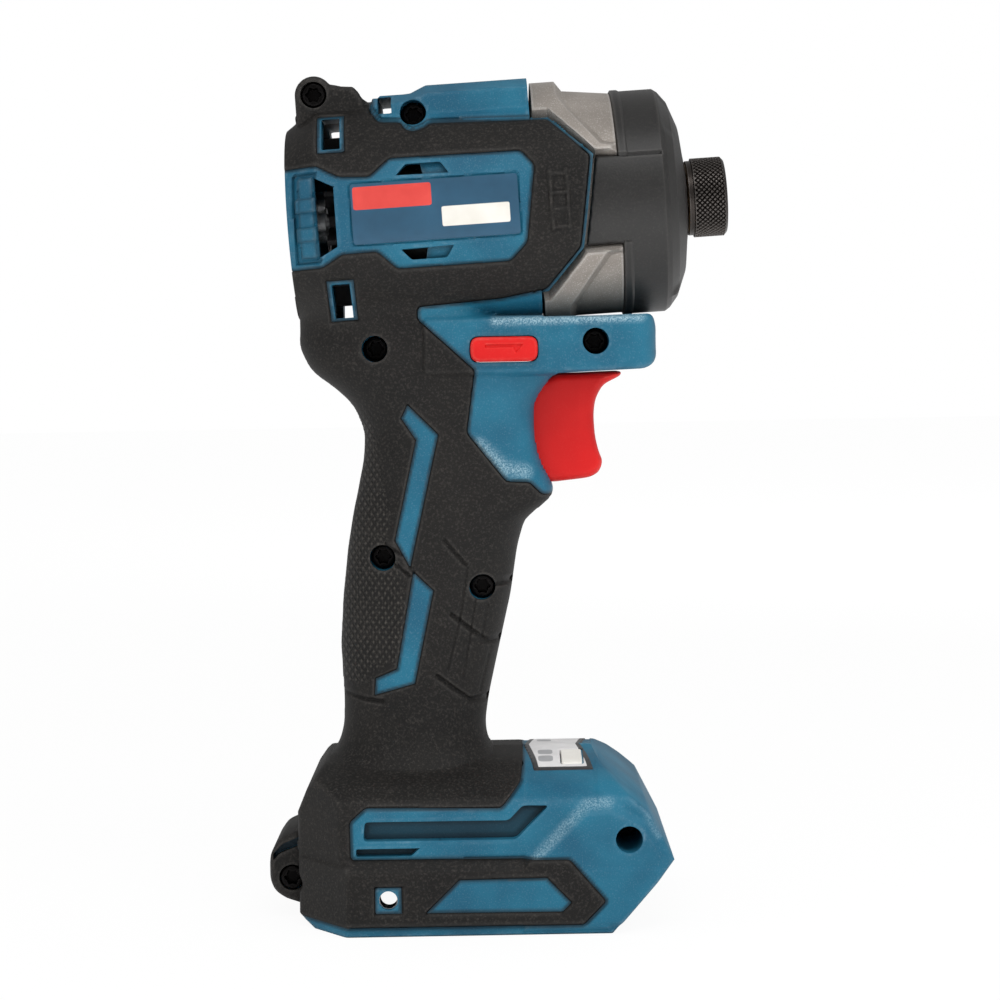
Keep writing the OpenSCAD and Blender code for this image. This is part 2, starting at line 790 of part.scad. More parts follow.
// Label window sunk into the right half
module window_skin(depth) {
    difference() {
        in_head()
            side_prism(reach)
                polygon(head_pts(window_shares));
        barrel(depth);
    }
}

// Long recess in the side of the foot
module foot_recess() {
    translate([0, foot_slot_depth - foot_cross_shares[6][0] * foot_w, 0])
        side_prism(reach)
            polygon(foot_pts(foot_slot_shares));
}

// Hole for the stem of the mode key
module key_hole() {
    translate([key_at[0], key_at[1], panel_board_z])
        cylinder(r = key_stem / 2 + clear, h = foot_h);
}

// Skin of the foot's top over the mode panel
module panel_skin(grow, depth) {
    difference() {
        translate([0, 0, foot_h / 2])
            linear_extrude(foot_h)
                offset(delta = grow)
                    polygon([for (s = panel_shares) [s[0] * foot_l - foot_back, -s[1] * foot_w]]);
        foot(depth);
    }
}

// Label plate in the window of the right half
module label_skin() {
    difference() {
        in_head()
            side_prism(reach)
                polygon(head_pts(label_shares));
        barrel(window_drop + label_t);
    }
}

// One half of the shell
module shell(pilot) {
    difference() {
        union() {
            difference() {
                union() {
                    body(0);
                    bridge(0);
                }
                rubber_room();
                hollow();
                vents();
                battery_slot();
            }
            ribs();
            bosses();
        }
        screw_holes(pilot);
        openings();
        window_skin(window_drop);
        label_skin();
        panel_skin(slide, panel_t);
        foot_recess();
        if (!pilot)
            key_hole();
    }
}

// Rubber over one half of the shell
module overmould(pilot) {
    difference() {
        intersection() {
            body(0);
            side_prism(reach)
                rubber_zone();
        }
        body(rubber_t);
        vents();
        if (!pilot)
            screw_holes(false);
    }
}

module housing_right() {
    color("steelblue")
        shell(false);
}

module housing_left() {
    color("steelblue")
        mirrored()
            shell(true);
}

module grip_right() {
    color("dimgray")
        overmould(false);
}

module grip_left() {
    color("dimgray")
        mirrored()
            overmould(true);
}

// Screw along Y: head with a star recess at the seat, shank into the left half
module screw(seat, tip) {
    difference() {
        union() {
            cross_rod([0, 0], screw_head_r, -seat - screw_head_h, -seat);
            cross_rod([0, 0], screw_r, -seat - over, tip);
        }
        translate([0, -seat - screw_head_h / 2, 0])
            rotate([90, 0, 0])
                cylinder(r = screw_recess_r, h = screw_head_h, $fn = 6);
    }
}

module housing_screws() {
    color("silver")
        for (s = screws)
            translate([s[0][0], 0, s[0][1]])
                screw(s[1], screw_reach);
}

// Ring between two radii and two stations
module ring(r0, r1, x0, x1) {
    turned([[r0, x0], [r1, x0], [r1, x1], [r0, x1]]);
}

// Side plates of the shell ahead of its front edge, with a gap round them
module shell_arms(gap) {
    side = head_pts(shell_side_shares);
    for (y = [0, 1])
        mirror([0, y, 0])
            side_prism(reach)
                offset(delta = gap)
                    polygon(concat([[0, side[0][1]]], side, [[0, side[3][1]]]));
}

// Tongues of the bumper that reach back to the shell
module tongues(gap) {
    for (y = [0, 1])
        mirror([0, y, 0])
            side_prism(reach)
                offset(delta = gap)
                    polygon(head_pts(tongue_shares));
}

module hammer_case() {
    slope_x = bumper_fore - 2 * case_slope - washer_t;
    color("gray")
        in_head() {
            turned([[case_bore_r, gear_x], [case_tail_r, gear_x], [case_tail_r, shell_fore],
                [case_r, shell_fore + fit], [case_r, slope_x],
                [case_r - 2 * case_slope, slope_x + case_slope], [nose_r, slope_x + case_slope],
                [nose_r, nose_x1], [bush_r + fit, nose_x1], [bush_r + fit, case_in_x1],
                [case_bore_r, case_in_x1]]);
            difference() {
                union() {
                    ring(case_r - fit, land_r, shell_fore + clear, bumper_x0 - fit);
                    intersection() {
                        turned([[case_r - fit, shell_fore + clear], [raised_r, shell_fore + clear],
                            [raised_r - clear, shell_fore + 4 * raised_l / 5],
                            [land_r, shell_fore + raised_l], [case_r - fit, shell_fore + raised_l]]);
                        block([0, -case_r, case_r / 2], [2 * raised_l + shell_fore, case_r, 2 * case_r]);
                    }
                }
                shell_arms(clear);
                tongues(clear);
            }
        }
}

module nose_bumper() {
    slope_x = bumper_fore - 2 * case_slope - washer_t;
    dome = [for (s = bumper_dome_shares) [s[0] * bumper_r, bumper_fore + s[1] * head_back]];
    color("black")
        in_head() {
            turned(concat([[case_r + fit, bumper_x0], [bumper_r, bumper_x0]], dome,
                [[dome[4][0], nose_x1 + fit], [nose_r + fit, nose_x1 + fit],
                    [nose_r + fit, slope_x + case_slope + fit],
                    [case_r - 2 * case_slope, slope_x + case_slope + fit], [case_r + fit, slope_x]]));
            intersection() {
                ring(case_r + fit, bumper_r, 0, bumper_x0 + over);
                tongues(0);
            }
        }
}

// Stator core: yoke with poles and shoes
module stator_core() {
    shoe_r = rotor_r + pole_gap;
    color("lightgray")
        in_head()
            translate([stator_x0, 0, 0])
                long_prism(stator_l) {
                    difference() {
                        circle(stator_r);
                        circle(stator_r - stator_yoke);
                    }
                    difference() {
                        for (i = [0 : stator_poles - 1])
                            rotate(360 * i / stator_poles)
                                translate([0, -pole_w / 2])
                                    square([stator_r - stator_yoke / 2, pole_w]);
                        circle(shoe_r + shoe_t / 2);
                    }
                    difference() {
                        intersection() {
                            circle(shoe_r + shoe_t);
                            for (i = [0 : stator_poles - 1])
                                rotate(360 * i / stator_poles - shoe_angle / 2)
                                    polygon([[0, 0], [2 * shoe_r, 0], [2 * shoe_r * cos(shoe_angle),
                                        2 * shoe_r * sin(shoe_angle)]]);
                        }
                        circle(shoe_r);
                    }
                }
}

module stator_coils() {
    low = rotor_r + pole_gap + shoe_t + fit;
    hole = pole_w / 2 + fit;
    high = sqrt(pow(stator_r - stator_yoke, 2) - pow(hole + coil_t, 2));
    color("peru")
        in_head()
            for (i = [0 : stator_poles - 1])
                rotate([360 * i / stator_poles, 0, 0])
                    difference() {
                        block([coil_x0, low, -hole - coil_t], [coil_x1, high - clear, hole + coil_t]);
                        block([stator_x0 - fit, low - over, -hole], [stator_x1 + fit, high + over, hole]);
                    }
}

module sensor_board() {
    color("darkgreen")
        in_head()
            ring(rotor_r + pole_gap, stator_r - fit, sensor_x0, sensor_x0 + board_t);
}

// Ball bearing: two races with a shield between them
module bearing(r0, r1, x0, l) {
    race = (r1 - r0) / 4;
    color("silver")
        in_head()
            turned([[r0, x0], [r0 + race, x0], [r0 + race, x0 + l / 8], [r1 - race, x0 + l / 8],
                [r1 - race, x0], [r1, x0], [r1, x0 + l], [r1 - race, x0 + l], [r1 - race, x0 + l - l / 8],
                [r0 + race, x0 + l - l / 8], [r0 + race, x0 + l], [r0, x0 + l]]);
}

module rear_bearing() {
    bearing(shaft_r + run, rear_bearing_r, rear_bearing_x0, rear_bearing_l);
}

module front_bearing() {
    bearing(shaft_r + run, front_bearing_r, bracket_x1 - front_bearing_l, front_bearing_l);
}

module motor_bracket() {
    hub_r = front_bearing_r + hub_wall;
    hole = front_bearing_r + run;
    color("dimgray")
        in_head()
            turned([[hole, hub_x0], [hub_r, hub_x0], [hub_r, bracket_x0], [case_tail_r, bracket_x0],
                [case_tail_r, bracket_x1], [hole, bracket_x1]]);
}

// Flank of an involute tooth: half angle at a radius
function involute(a) = tan(a) * 180 / PI - a;
function half_angle(z, r, slack) = let (pitch = z * tooth_module / 2, base = pitch * cos(pressure))
    90 / z - slack / pitch * 180 / PI + involute(pressure) - involute(acos(min(1, base / r)));
function flank(z, r0, r1, slack, i, way) = [for (k = [0 : flank_steps])
    let (u = way < 0 ? k : flank_steps - k, r = r0 + (r1 - r0) * u / flank_steps,
        a = 360 * i / z + way * half_angle(z, r, slack)) r * [cos(a), sin(a)]];
function teeth(z, r0, r1, slack) = [for (i = [0 : z - 1])
    each concat(flank(z, r0, r1, slack, i, -1), flank(z, r0, r1, slack, i, 1))];
function tip(r) = r + addendum_share * tooth_module;
function root(r) = r - dedendum_share * tooth_module;

module ring_gear() {
    color("gray")
        in_head()
            translate([ring_x0, 0, 0])
                long_prism(ring_l)
                    difference() {
                        circle(case_bore_r - fit);
                        polygon(teeth(ring_teeth, ring_r - addendum_share * tooth_module,
                            ring_r + dedendum_share * tooth_module, -backlash));
                    }
}

// Planet gear on its pin, at one side of the axis
module planet(side) {
    color("silver")
        in_head()
            translate([planet_x0, side * planet_at, 0])
                long_prism(gear_w)
                    difference() {
                        rotate(side > 0 ? 0 : 180)
                            polygon(teeth(planet_teeth, root(planet_r), tip(planet_r), backlash));
                        circle(pin_r + run);
                    }
}

module planet_gear_1() {
    planet(1);
}

module planet_gear_2() {
    planet(-1);
}

module nose_bushing() {
    color("goldenrod")
        in_head()
            ring(anvil_r + run, bush_r, case_in_x1 + fit, nose_x1);
}

module thrust_washer() {
    color("silver")
        in_head()
            ring(anvil_r + clear, nose_r + washer_t, wing_x1 + fit, thrust_x1);
}

module trigger_switch() {
    color("black")
        difference() {
            block([switch_x0, -switch_w, switch_z0], [switch_x1, switch_w, switch_z0 + switch_h]);
            translate([0, 0, trigger_z + trigger_h / 2])
                rod(plunger_r + clear, trigger_x - plunger_back - trigger_travel - over, switch_x1 + over);
        }
}

module control_tray() {
    color("black")
        difference() {
            block([tray_x0, -tray_w, tray_z0], [tray_x0 + tray_l, tray_w, tray_z0 + tray_h]);
            block([tray_x0 + tray_t, tray_t - tray_w, tray_z0 + tray_t],
                [tray_x0 + tray_l - tray_t, tray_w - tray_t, tray_z0 + tray_h + over]);
        }
}

module control_board() {
    gap = tray_t + fit;
    color("darkgreen")
        block([tray_x0 + gap, gap - tray_w, tray_z0 + gap],
            [tray_x0 + tray_l - gap, tray_w - gap, lead_z0 - fit]);
}

module heat_sink() {
    x1 = tray_x0 + tray_l - 2 * tray_t;
    color("silver")
        difference() {
            block([x1 - sink_l, -sink_w, lead_z0 - fit], [x1, sink_w, lead_z0 + sink_h]);
            for (x = [x1 - sink_l + 2 * sink_fin : 2 * sink_fin : x1 - sink_fin])
                block([x - sink_fin, -sink_w - over, lead_z0 + sink_h / 3],
                    [x, sink_w + over, lead_z0 + sink_h + over]);
        }
}

module terminal_block() {
    color("black") {
        block([block_x0, -block_w, block_low], [block_x0 + block_l, block_w, room_z0]);
        block([block_x0 - block_rim, -block_w - block_rim, room_z0 + fit / 2],
            [block_x0 + block_l + block_rim, block_w + block_rim, room_z0 + block_rim_t]);
        block([block_x0, -block_w, room_z0 - over], [block_x0 + block_l, block_w, room_z0 + block_rim_t]);
    }
}

module terminal_blades() {
    x1 = block_x0 + block_l;
    color("goldenrod")
        for (y = contact_ys)
            block([x1 - blade_l, y - contact_t / 2, block_low - blade_h],
                [x1, y + contact_t / 2, block_low]);
}

module hook_nuts() {
    y = rail_w + slot_lip + slide;
    color("silver")
        for (m = [0, 1])
            mirror([0, m, 0])
                difference() {
                    cross_rod(foot_pt(hook_pt_share), hook_nut_r, slide - y - hook_nut_l + clear, -y);
                    cross_rod(foot_pt(hook_pt_share), hook_bore_r, -y - 2 * hook_nut_l, over - y);
                }
}

module rating_label() {
    color("midnightblue")
        for (m = [0, 1])
            mirror([0, m, 0])
                intersection() {
                    label_skin();
                    barrel(window_drop);
                }
}

module mode_panel() {
    color("silver")
        difference() {
            for (m = [0, 1])
                mirror([0, m, 0])
                    intersection() {
                        panel_skin(0, panel_t - run);
                        foot(0);
                    }
            key_prism(clear);
        }
}

// Outline of the mode key through the top of the foot
module key_prism(grow) {
    translate([0, 0, foot_h / 2])
        linear_extrude(foot_h)
            offset(delta = grow)
                polygon([for (s = key_shares) [s[0] * foot_l - foot_back, -s[1] * foot_w]]);
}

module mode_key() {
    color("whitesmoke")
        intersection() {
            union() {
                difference() {
                    key_prism(0);
                    foot(panel_t - key_travel - fit);
                }
                translate([key_at[0], key_at[1], panel_board_z + key_travel + fit])
                    cylinder(r = key_stem / 2, h = foot_h);
            }
            foot(0);
        }
}

module panel_board() {
    color("darkgreen")
        block([panel_shares[0][0] * foot_l - foot_back, -panel_board_w, panel_board_z - board_t],
            [key_at[0] + key_stem, panel_board_w, panel_board_z]);
}

module lamp_lens() {
    color("white")
        block([bridge_front - lamp_l, -lamp_w, lamp_z - lamp_h / 2],
            [bridge_front, lamp_w, lamp_z + lamp_h / 2]);
}

module lamp_board() {
    x1 = bridge_front - lamp_l - fit;
    color("darkgreen")
        block([x1 - board_t, -lamp_w, lamp_z - lamp_h / 2], [x1, lamp_w, lamp_z + lamp_h / 2]);
}

// Tube through the points of a route
function unit(v) = v / norm(v);
module tube(route, r) {
    last = len(route) - 1;
    points = [for (i = [0 : last]) let (t = unit(route[min(i + 1, last)] - route[max(i - 1, 0)]),
        n = unit(cross(t, [0, 1, 0])), b = cross(t, n)) for (k = [0 : lead_sides - 1])
        let (a = 360 * k / lead_sides) route[i] + r * (cos(a) * n + sin(a) * b)];
    sides = [for (i = [0 : last - 1]) for (k = [0 : lead_sides - 1])
        let (m = (k + 1) % lead_sides, p = i * lead_sides, q = p + lead_sides)
        for (f = [[p + k, q + k, p + m], [p + m, q + k, q + m]]) f];
    ends = [[for (k = [0 : lead_sides - 1]) k],
        [for (k = [lead_sides - 1 : -1 : 0]) last * lead_sides + k]];
    polyhedron(points, concat(sides, ends));
}

module motor_leads() {
    color("crimson")
        for (y = motor_lead_ys)
            tube([for (p = motor_lead_route) [p[0], y, p[1]]], lead_r);
}

module switch_leads() {
    color("black")
        for (y = switch_lead_ys)
            tube([for (p = switch_lead_route) [p[0], y, p[1]]], lead_r);
}

module rotor_core() {
    color("gray")
        in_head()
            ring(shaft_r + run, rotor_r - magnet_t - run, stator_x0 - over, stator_x1 + over);
}

module rotor_magnets() {
    color("darkgray")
        in_head()
            for (i = [0 : 3])
                rotate([90 * i, 0, 0])
                    rotate([0, 90, 0])
                        rotate_extrude(angle = magnet_angle)
                            polygon([[rotor_r - magnet_t, stator_x0], [rotor_r, stator_x0],
                                [rotor_r, stator_x1], [rotor_r - magnet_t, stator_x1]]);
}

module motor_shaft() {
    color("silver")
        in_head() {
            rod(shaft_r, rear_bearing_x0 + fit, planet_x0 + over);
            translate([planet_x0, 0, 0])
                long_prism(gear_w)
                    polygon(teeth(sun_teeth, root(sun_r), tip(sun_r), backlash));
        }
}

module cooling_fan() {
    color("black")
        in_head() {
            ring(shaft_r + run, fan_hub_r, fan_x0, fan_x1);
            ring(fan_hub_r - fit, fan_r, fan_x1 - fan_back, fan_x1);
            intersection() {
                for (i = [0 : fan_blades - 1])
                    rotate([360 * i / fan_blades, 0, 0])
                        block([fan_x0, fan_hub_r - over, -blade_t / 2], [fan_x1 - fit, fan_r, blade_t / 2]);
                rod(fan_r - fit, fan_x0, fan_x1);
            }
        }
}

module spindle() {
    color("lightgray")
        in_head()
            difference() {
                turned([[0, flange_x0], [flange_r, flange_x0], [flange_r, flange_x1],
                    [spindle_r, flange_x1], [spindle_r, wing_x0 - clear], [pilot_r, wing_x0 - clear],
                    [pilot_r, wing_x1 - over], [0, wing_x1 - over]]);
                for (y = [-1, 1])
                    translate([0, y * planet_at, 0])
                        rod(pin_r + run, flange_x0 - over, flange_x1 + over);
                for (y = [-1, 1])
                    translate([cam_x, y * (spindle_r + clear), 0])
                        for (a = [-1, 1])
                            rotate([0, a * 30, 0])
                                rod(cam_ball_r + run, -2 * spindle_r, 0);
                for (y = [-1, 1])
                    translate([cam_x, y * (spindle_r + clear), 0])
                        sphere(r = cam_ball_r + run);
            }
}

module planet_pins() {
    color("silver")
        in_head()
            for (y = [-1, 1])
                translate([0, y * planet_at, 0])
                    rod(pin_r, planet_x0, flange_x1);
}

module cam_balls() {
    color("silver")
        in_head()
            for (y = [-1, 1])
                translate([cam_x, y * (spindle_r + clear), 0])
                    sphere(r = cam_ball_r);
}

module spring_washer() {
    color("silver")
        in_head()
            ring(recess_in, flange_r - clear, flange_x1 + run, flange_x1 + washer_t);
}

// Wire coil about the X axis
module coil(r, wire, x0, x1, curls) {
    last = coil_rings * curls;
    rise = x1 - x0 - 2 * wire;
    echo(coil_gap = rise / curls - 2 * wire);
    points = [for (i = [0 : last]) let (a = 360 * i / coil_rings, x = x0 + wire + rise * i / last)
        for (k = [0 : coil_sides - 1]) let (b = 360 * k / coil_sides, q = r + wire * cos(b))
            [x + wire * sin(b), q * cos(a), q * sin(a)]];
    sides = [for (i = [0 : last - 1]) for (k = [0 : coil_sides - 1])
        let (m = (k + 1) % coil_sides, p = i * coil_sides, q = p + coil_sides)
        for (f = [[p + k, p + m, q + k], [p + m, q + m, q + k]]) f];
    ends = [[for (k = [coil_sides - 1 : -1 : 0]) k],
        [for (k = [0 : coil_sides - 1]) last * coil_sides + k]];
    polyhedron(points, concat(sides, ends));
}

module hammer_spring() {
    color("gray")
        in_head()
            coil((recess_in + recess_out) / 2, spring_wire, flange_x1 + washer_t + run,
                hammer_x0 + recess_d - run, spring_curls);
}

module hammer() {
    bore = spindle_r + run;
    color("gray")
        in_head()
            difference() {
                union() {
                    turned([[bore, hammer_x0], [recess_in, hammer_x0], [recess_in, hammer_x0 + recess_d],
                        [recess_out, hammer_x0 + recess_d], [recess_out, hammer_x0], [hammer_r, hammer_x0],
                        [hammer_r, hammer_x1], [bore, hammer_x1]]);
                    intersection() {
                        ring(recess_in, hammer_r, hammer_x1 - over, hammer_x1 + dog_l);
                        block([hammer_x1 - over, -dog_w / 2, -hammer_r],
                            [hammer_x1 + dog_l, dog_w / 2, hammer_r]);
                    }
                }
                for (y = [-1, 1])
                    translate([0, y * (spindle_r + clear), 0])
                        rod(cam_ball_r + clear, cam_x - cam_ball_r - clear, hammer_x1 + over);
            }
}

module anvil() {
    front = sleeve_x1 + fit;
    color("lightgray")
        in_head()
            difference() {
                union() {
                    intersection() {
                        block([wing_x0, -hammer_r, -wing_w / 2], [wing_x1, hammer_r, wing_w / 2]);
                        rod(hammer_r - clear, wing_x0, wing_x1);
                    }
                    rod(neck_r + cam_ball_r + washer_t, wing_x0, wing_x1);
                    rod(anvil_r, wing_x1 - over, nose_x1 + clear);
                    rod(neck_r, nose_x1, front);
                }
                rod(pilot_r + run, wing_x0 - over, wing_x1 - clear);
                translate([front - hex_depth, 0, 0])
                    rotate([0, 90, 0])
                        cylinder(r = hex_flats / sqrt(3), h = hex_depth + over, $fn = 6);
                for (y = [-1, 1])
                    translate([ball_x, 0, 0])
                        rotate([-90 * y, 0, 0])
                            cylinder(r = ball_r + run, h = sleeve_r);
                ring(neck_r - clip_depth, neck_r + over, clip_x0 - run, clip_x0 + clip_t + run);
            }
}

module bit_balls() {
    color("silver")
        in_head()
            for (y = [-1, 1])
                translate([ball_x, y * (neck_r - ball_r), 0])
                    sphere(r = ball_r);
}

module sleeve_washer() {
    color("silver")
        in_head()
            ring(neck_r + run, room_r - clear, clip_x0 - ring_t - run, clip_x0 - run);
}

module sleeve_clip() {
    color("silver")
        in_head()
            ring(neck_r - clip_depth + run, neck_r + washer_t, clip_x0, clip_x0 + clip_t);
}

module sleeve_spring() {
    color("silver")
        in_head()
            coil((neck_r + room_r) / 2, sleeve_wire, sleeve_x0 + lock_l + run, clip_x0 - ring_t - 2 * run,
                sleeve_curls);
}

module bit_sleeve() {
    edge = clip_t;
    color("black")
        in_head()
            turned([[neck_r + 3 * run, sleeve_x0], [sleeve_r - edge, sleeve_x0],
                [sleeve_r, sleeve_x0 + edge], [sleeve_r, sleeve_x1 - edge],
                [sleeve_r - edge, sleeve_x1], [room_r, sleeve_x1],
                [room_r, sleeve_x0 + lock_l], [neck_r + 3 * run, sleeve_x0 + lock_l]]);
}

module trigger() {
    half = [for (s = trigger_plan_shares) [s[0] * trigger_d, s[1] * trigger_w]];
    other = [for (i = [len(half) - 1 : -1 : 0]) [half[i][0], -half[i][1]]];
    color("red")
        translate([trigger_x, 0, trigger_z])
            difference() {
                intersection() {
                    translate([0, trigger_w, 0])
                        side_prism(2 * trigger_w)
                            polygon([for (s = trigger_shares) [s[0] * trigger_d, s[1] * trigger_h]]);
                    linear_extrude(trigger_h)
                        polygon(concat(half, other));
                }
                translate([0, 0, trigger_h / 2])
                    rod(plunger_r + run, -over, plunger_in);
            }
}

module trigger_plunger() {
    color("white")
        translate([0, 0, trigger_z + trigger_h / 2])
            rod(plunger_r, trigger_x - plunger_back, trigger_x + plunger_in);
}

module trigger_spring() {
    color("silver")
        translate([0, 0, trigger_z + trigger_h / 2])
            coil(trigger_coil_r, trigger_wire, switch_x1 + run, trigger_x - run, trigger_curls);
}

module direction_button() {
    y1 = bridge_w + button_out;
    color("red") {
        for (y = [-1, 1])
            mirror([0, max(0, y), 0])
                translate([button_pt[0], -y1 + button_in, button_pt[1]])
                    side_prism(button_in)
                        square([button_l, button_h], center = true);
        block([button_pt[0] - bar_l / 2, button_in - y1 - over, button_pt[1] - bar_h / 2],
            [button_pt[0] + bar_l / 2, y1 - button_in + over, button_pt[1] + bar_h / 2]);
    }
}

housing_right();
housing_left();
grip_right();
grip_left();
housing_screws();
hammer_case();
nose_bumper();
stator_core();
stator_coils();
sensor_board();
rear_bearing();
front_bearing();
motor_bracket();
ring_gear();
nose_bushing();
thrust_washer();
trigger_switch();
control_tray();
control_board();
heat_sink();
terminal_block();
terminal_blades();
hook_nuts();
rating_label();
mode_panel();
panel_board();
lamp_lens();
lamp_board();
motor_leads();
switch_leads();
rotor_core();
rotor_magnets();
motor_shaft();
cooling_fan();
spindle();
planet_pins();
cam_balls();
spring_washer();
hammer_spring();
planet_gear_1();
planet_gear_2();
hammer();
anvil();
bit_balls();
sleeve_washer();
sleeve_clip();
sleeve_spring();
bit_sleeve();
trigger();
trigger_plunger();
trigger_spring();
direction_button();
mode_key();
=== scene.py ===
import math

import bpy
import numpy as np
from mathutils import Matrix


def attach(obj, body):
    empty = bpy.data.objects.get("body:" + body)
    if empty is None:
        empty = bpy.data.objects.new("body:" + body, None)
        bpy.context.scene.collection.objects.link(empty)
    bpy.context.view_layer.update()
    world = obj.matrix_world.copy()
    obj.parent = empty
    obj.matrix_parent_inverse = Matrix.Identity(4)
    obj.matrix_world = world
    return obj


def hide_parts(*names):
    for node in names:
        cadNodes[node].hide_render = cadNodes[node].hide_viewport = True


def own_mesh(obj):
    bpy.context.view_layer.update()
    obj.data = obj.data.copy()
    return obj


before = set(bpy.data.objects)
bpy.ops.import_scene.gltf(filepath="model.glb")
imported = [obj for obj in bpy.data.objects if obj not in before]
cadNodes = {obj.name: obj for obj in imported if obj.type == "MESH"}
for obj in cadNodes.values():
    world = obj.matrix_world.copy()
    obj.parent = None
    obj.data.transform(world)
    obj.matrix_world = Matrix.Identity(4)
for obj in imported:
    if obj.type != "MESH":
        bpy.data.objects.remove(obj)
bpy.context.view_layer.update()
print("frame:", len(cadNodes), "nodes")

# Sizes below are millimetres; a mesh is scaled to metres when it is made.
head = {"height": 172.8, "tilt": math.radians(3), "back": 49.3, "radius": 29.2, "flat": 28.6,
        "chamferFrom": -41.4, "chamferLong": 7.9, "chamferDeep": 5.84}
headCos, headSin = math.cos(head["tilt"]), math.sin(head["tilt"])


def toHead(x, z):  # object X and Z seen along the tilted head: its length and its height
    up = z - head["height"]
    return x * headCos + up * headSin, up * headCos - x * headSin


def fromHead(points):  # outline points on the head, back to object X and Z
    hx, hz = np.asarray(points, float).T
    return np.stack([hx * headCos - hz * headSin, head["height"] + hx * headSin + hz * headCos], 1)


def lineDistance(points, x, z):  # distance to an open line
    best = np.full(x.shape, 1e12)
    for a, b in zip(np.asarray(points[:-1], float), np.asarray(points[1:], float)):
        e = b - a
        t = np.clip(((x - a[0]) * e[0] + (z - a[1]) * e[1]) / max(e @ e, 1e-12), 0, 1)
        best = np.minimum(best, (x - a[0] - t * e[0]) ** 2 + (z - a[1] - t * e[1]) ** 2)
    return np.sqrt(best)


def edgeDistance(outline, x, z):  # distance to the nearest edge of a closed outline, negative inside
    pts = np.asarray(outline, float)
    inside = np.zeros(x.shape, bool)
    for a, b in zip(pts, np.roll(pts, -1, 0)):
        e = b - a
        crossing = (a[1] > z) != (b[1] > z)
        inside ^= crossing & (x < e[0] * (z - a[1]) / (e[1] if abs(e[1]) > 1e-9 else 1e-9) + a[0])
    return np.where(inside, -1, 1) * lineDistance(np.concatenate([pts, pts[:1]]), x, z)


def roundCorners(outline, radius, steps=4):  # each corner becomes a short curve between its pulled-back edges
    p = np.asarray(outline, float)
    before, after = np.roll(p, 1, 0) - p, np.roll(p, -1, 0) - p
    lenB, lenA = np.linalg.norm(before, axis=1), np.linalg.norm(after, axis=1)
    start = p + before * (np.minimum(radius, 0.45 * lenB) / lenB)[:, None]
    stop = p + after * (np.minimum(radius, 0.45 * lenA) / lenA)[:, None]
    t = np.linspace(0, 1, steps + 1)[None, :, None]
    curve = (1 - t) ** 2 * start[:, None] + 2 * t * (1 - t) * p[:, None] + t ** 2 * stop[:, None]
    return curve.reshape(-1, 2)


def ramp(a, b, t):  # smooth step from 0 at a to 1 at b
    s = np.clip((t - a) / (b - a), 0, 1)
    return s * s * (3 - 2 * s)


def softMax(a, b, k):  # the larger of two forms, with a fillet about k wide where they meet
    h = np.clip(0.5 + 0.5 * (a - b) / k, 0, 1)
    return b + (a - b) * h + k * h * (1 - h)


def softMin(a, b, k):
    return -softMax(-a, -b, k)


def roundOff(d, r):  # how far a rounded edge of radius r has dropped at distance d inside it
    t = np.clip(1 - d / r, 0, 1)
    return r * (1 - np.sqrt(1 - t * t))


def smoothTable(rows, reach, step=0.2):  # a table's columns against its first one, averaged over a reach
    rows = np.asarray(rows, float)
    at = np.arange(rows[0, 0], rows[-1, 0] + step / 2, step)
    n = int(round(reach / step)) * 2 + 1
    columns = []
    for k in range(1, rows.shape[1]):
        line = np.pad(np.interp(at, rows[:, 0], rows[:, k]), n, mode="reflect", reflect_type="odd")
        for _ in range(2):
            line = np.convolve(line, np.ones(n) / n, mode="same")
        columns.append(line[n:-n])
    return at, columns


# where a bend starts and ends to go pale with wear and painted edge highlight, how far from a cut it stays
# plain, and what counts as a flat wall
edgeWearAndHighlight = {"low": 0.12, "high": 0.9, "cut": 0.8, "longEdge": 3.0, "longShare": 0.15}


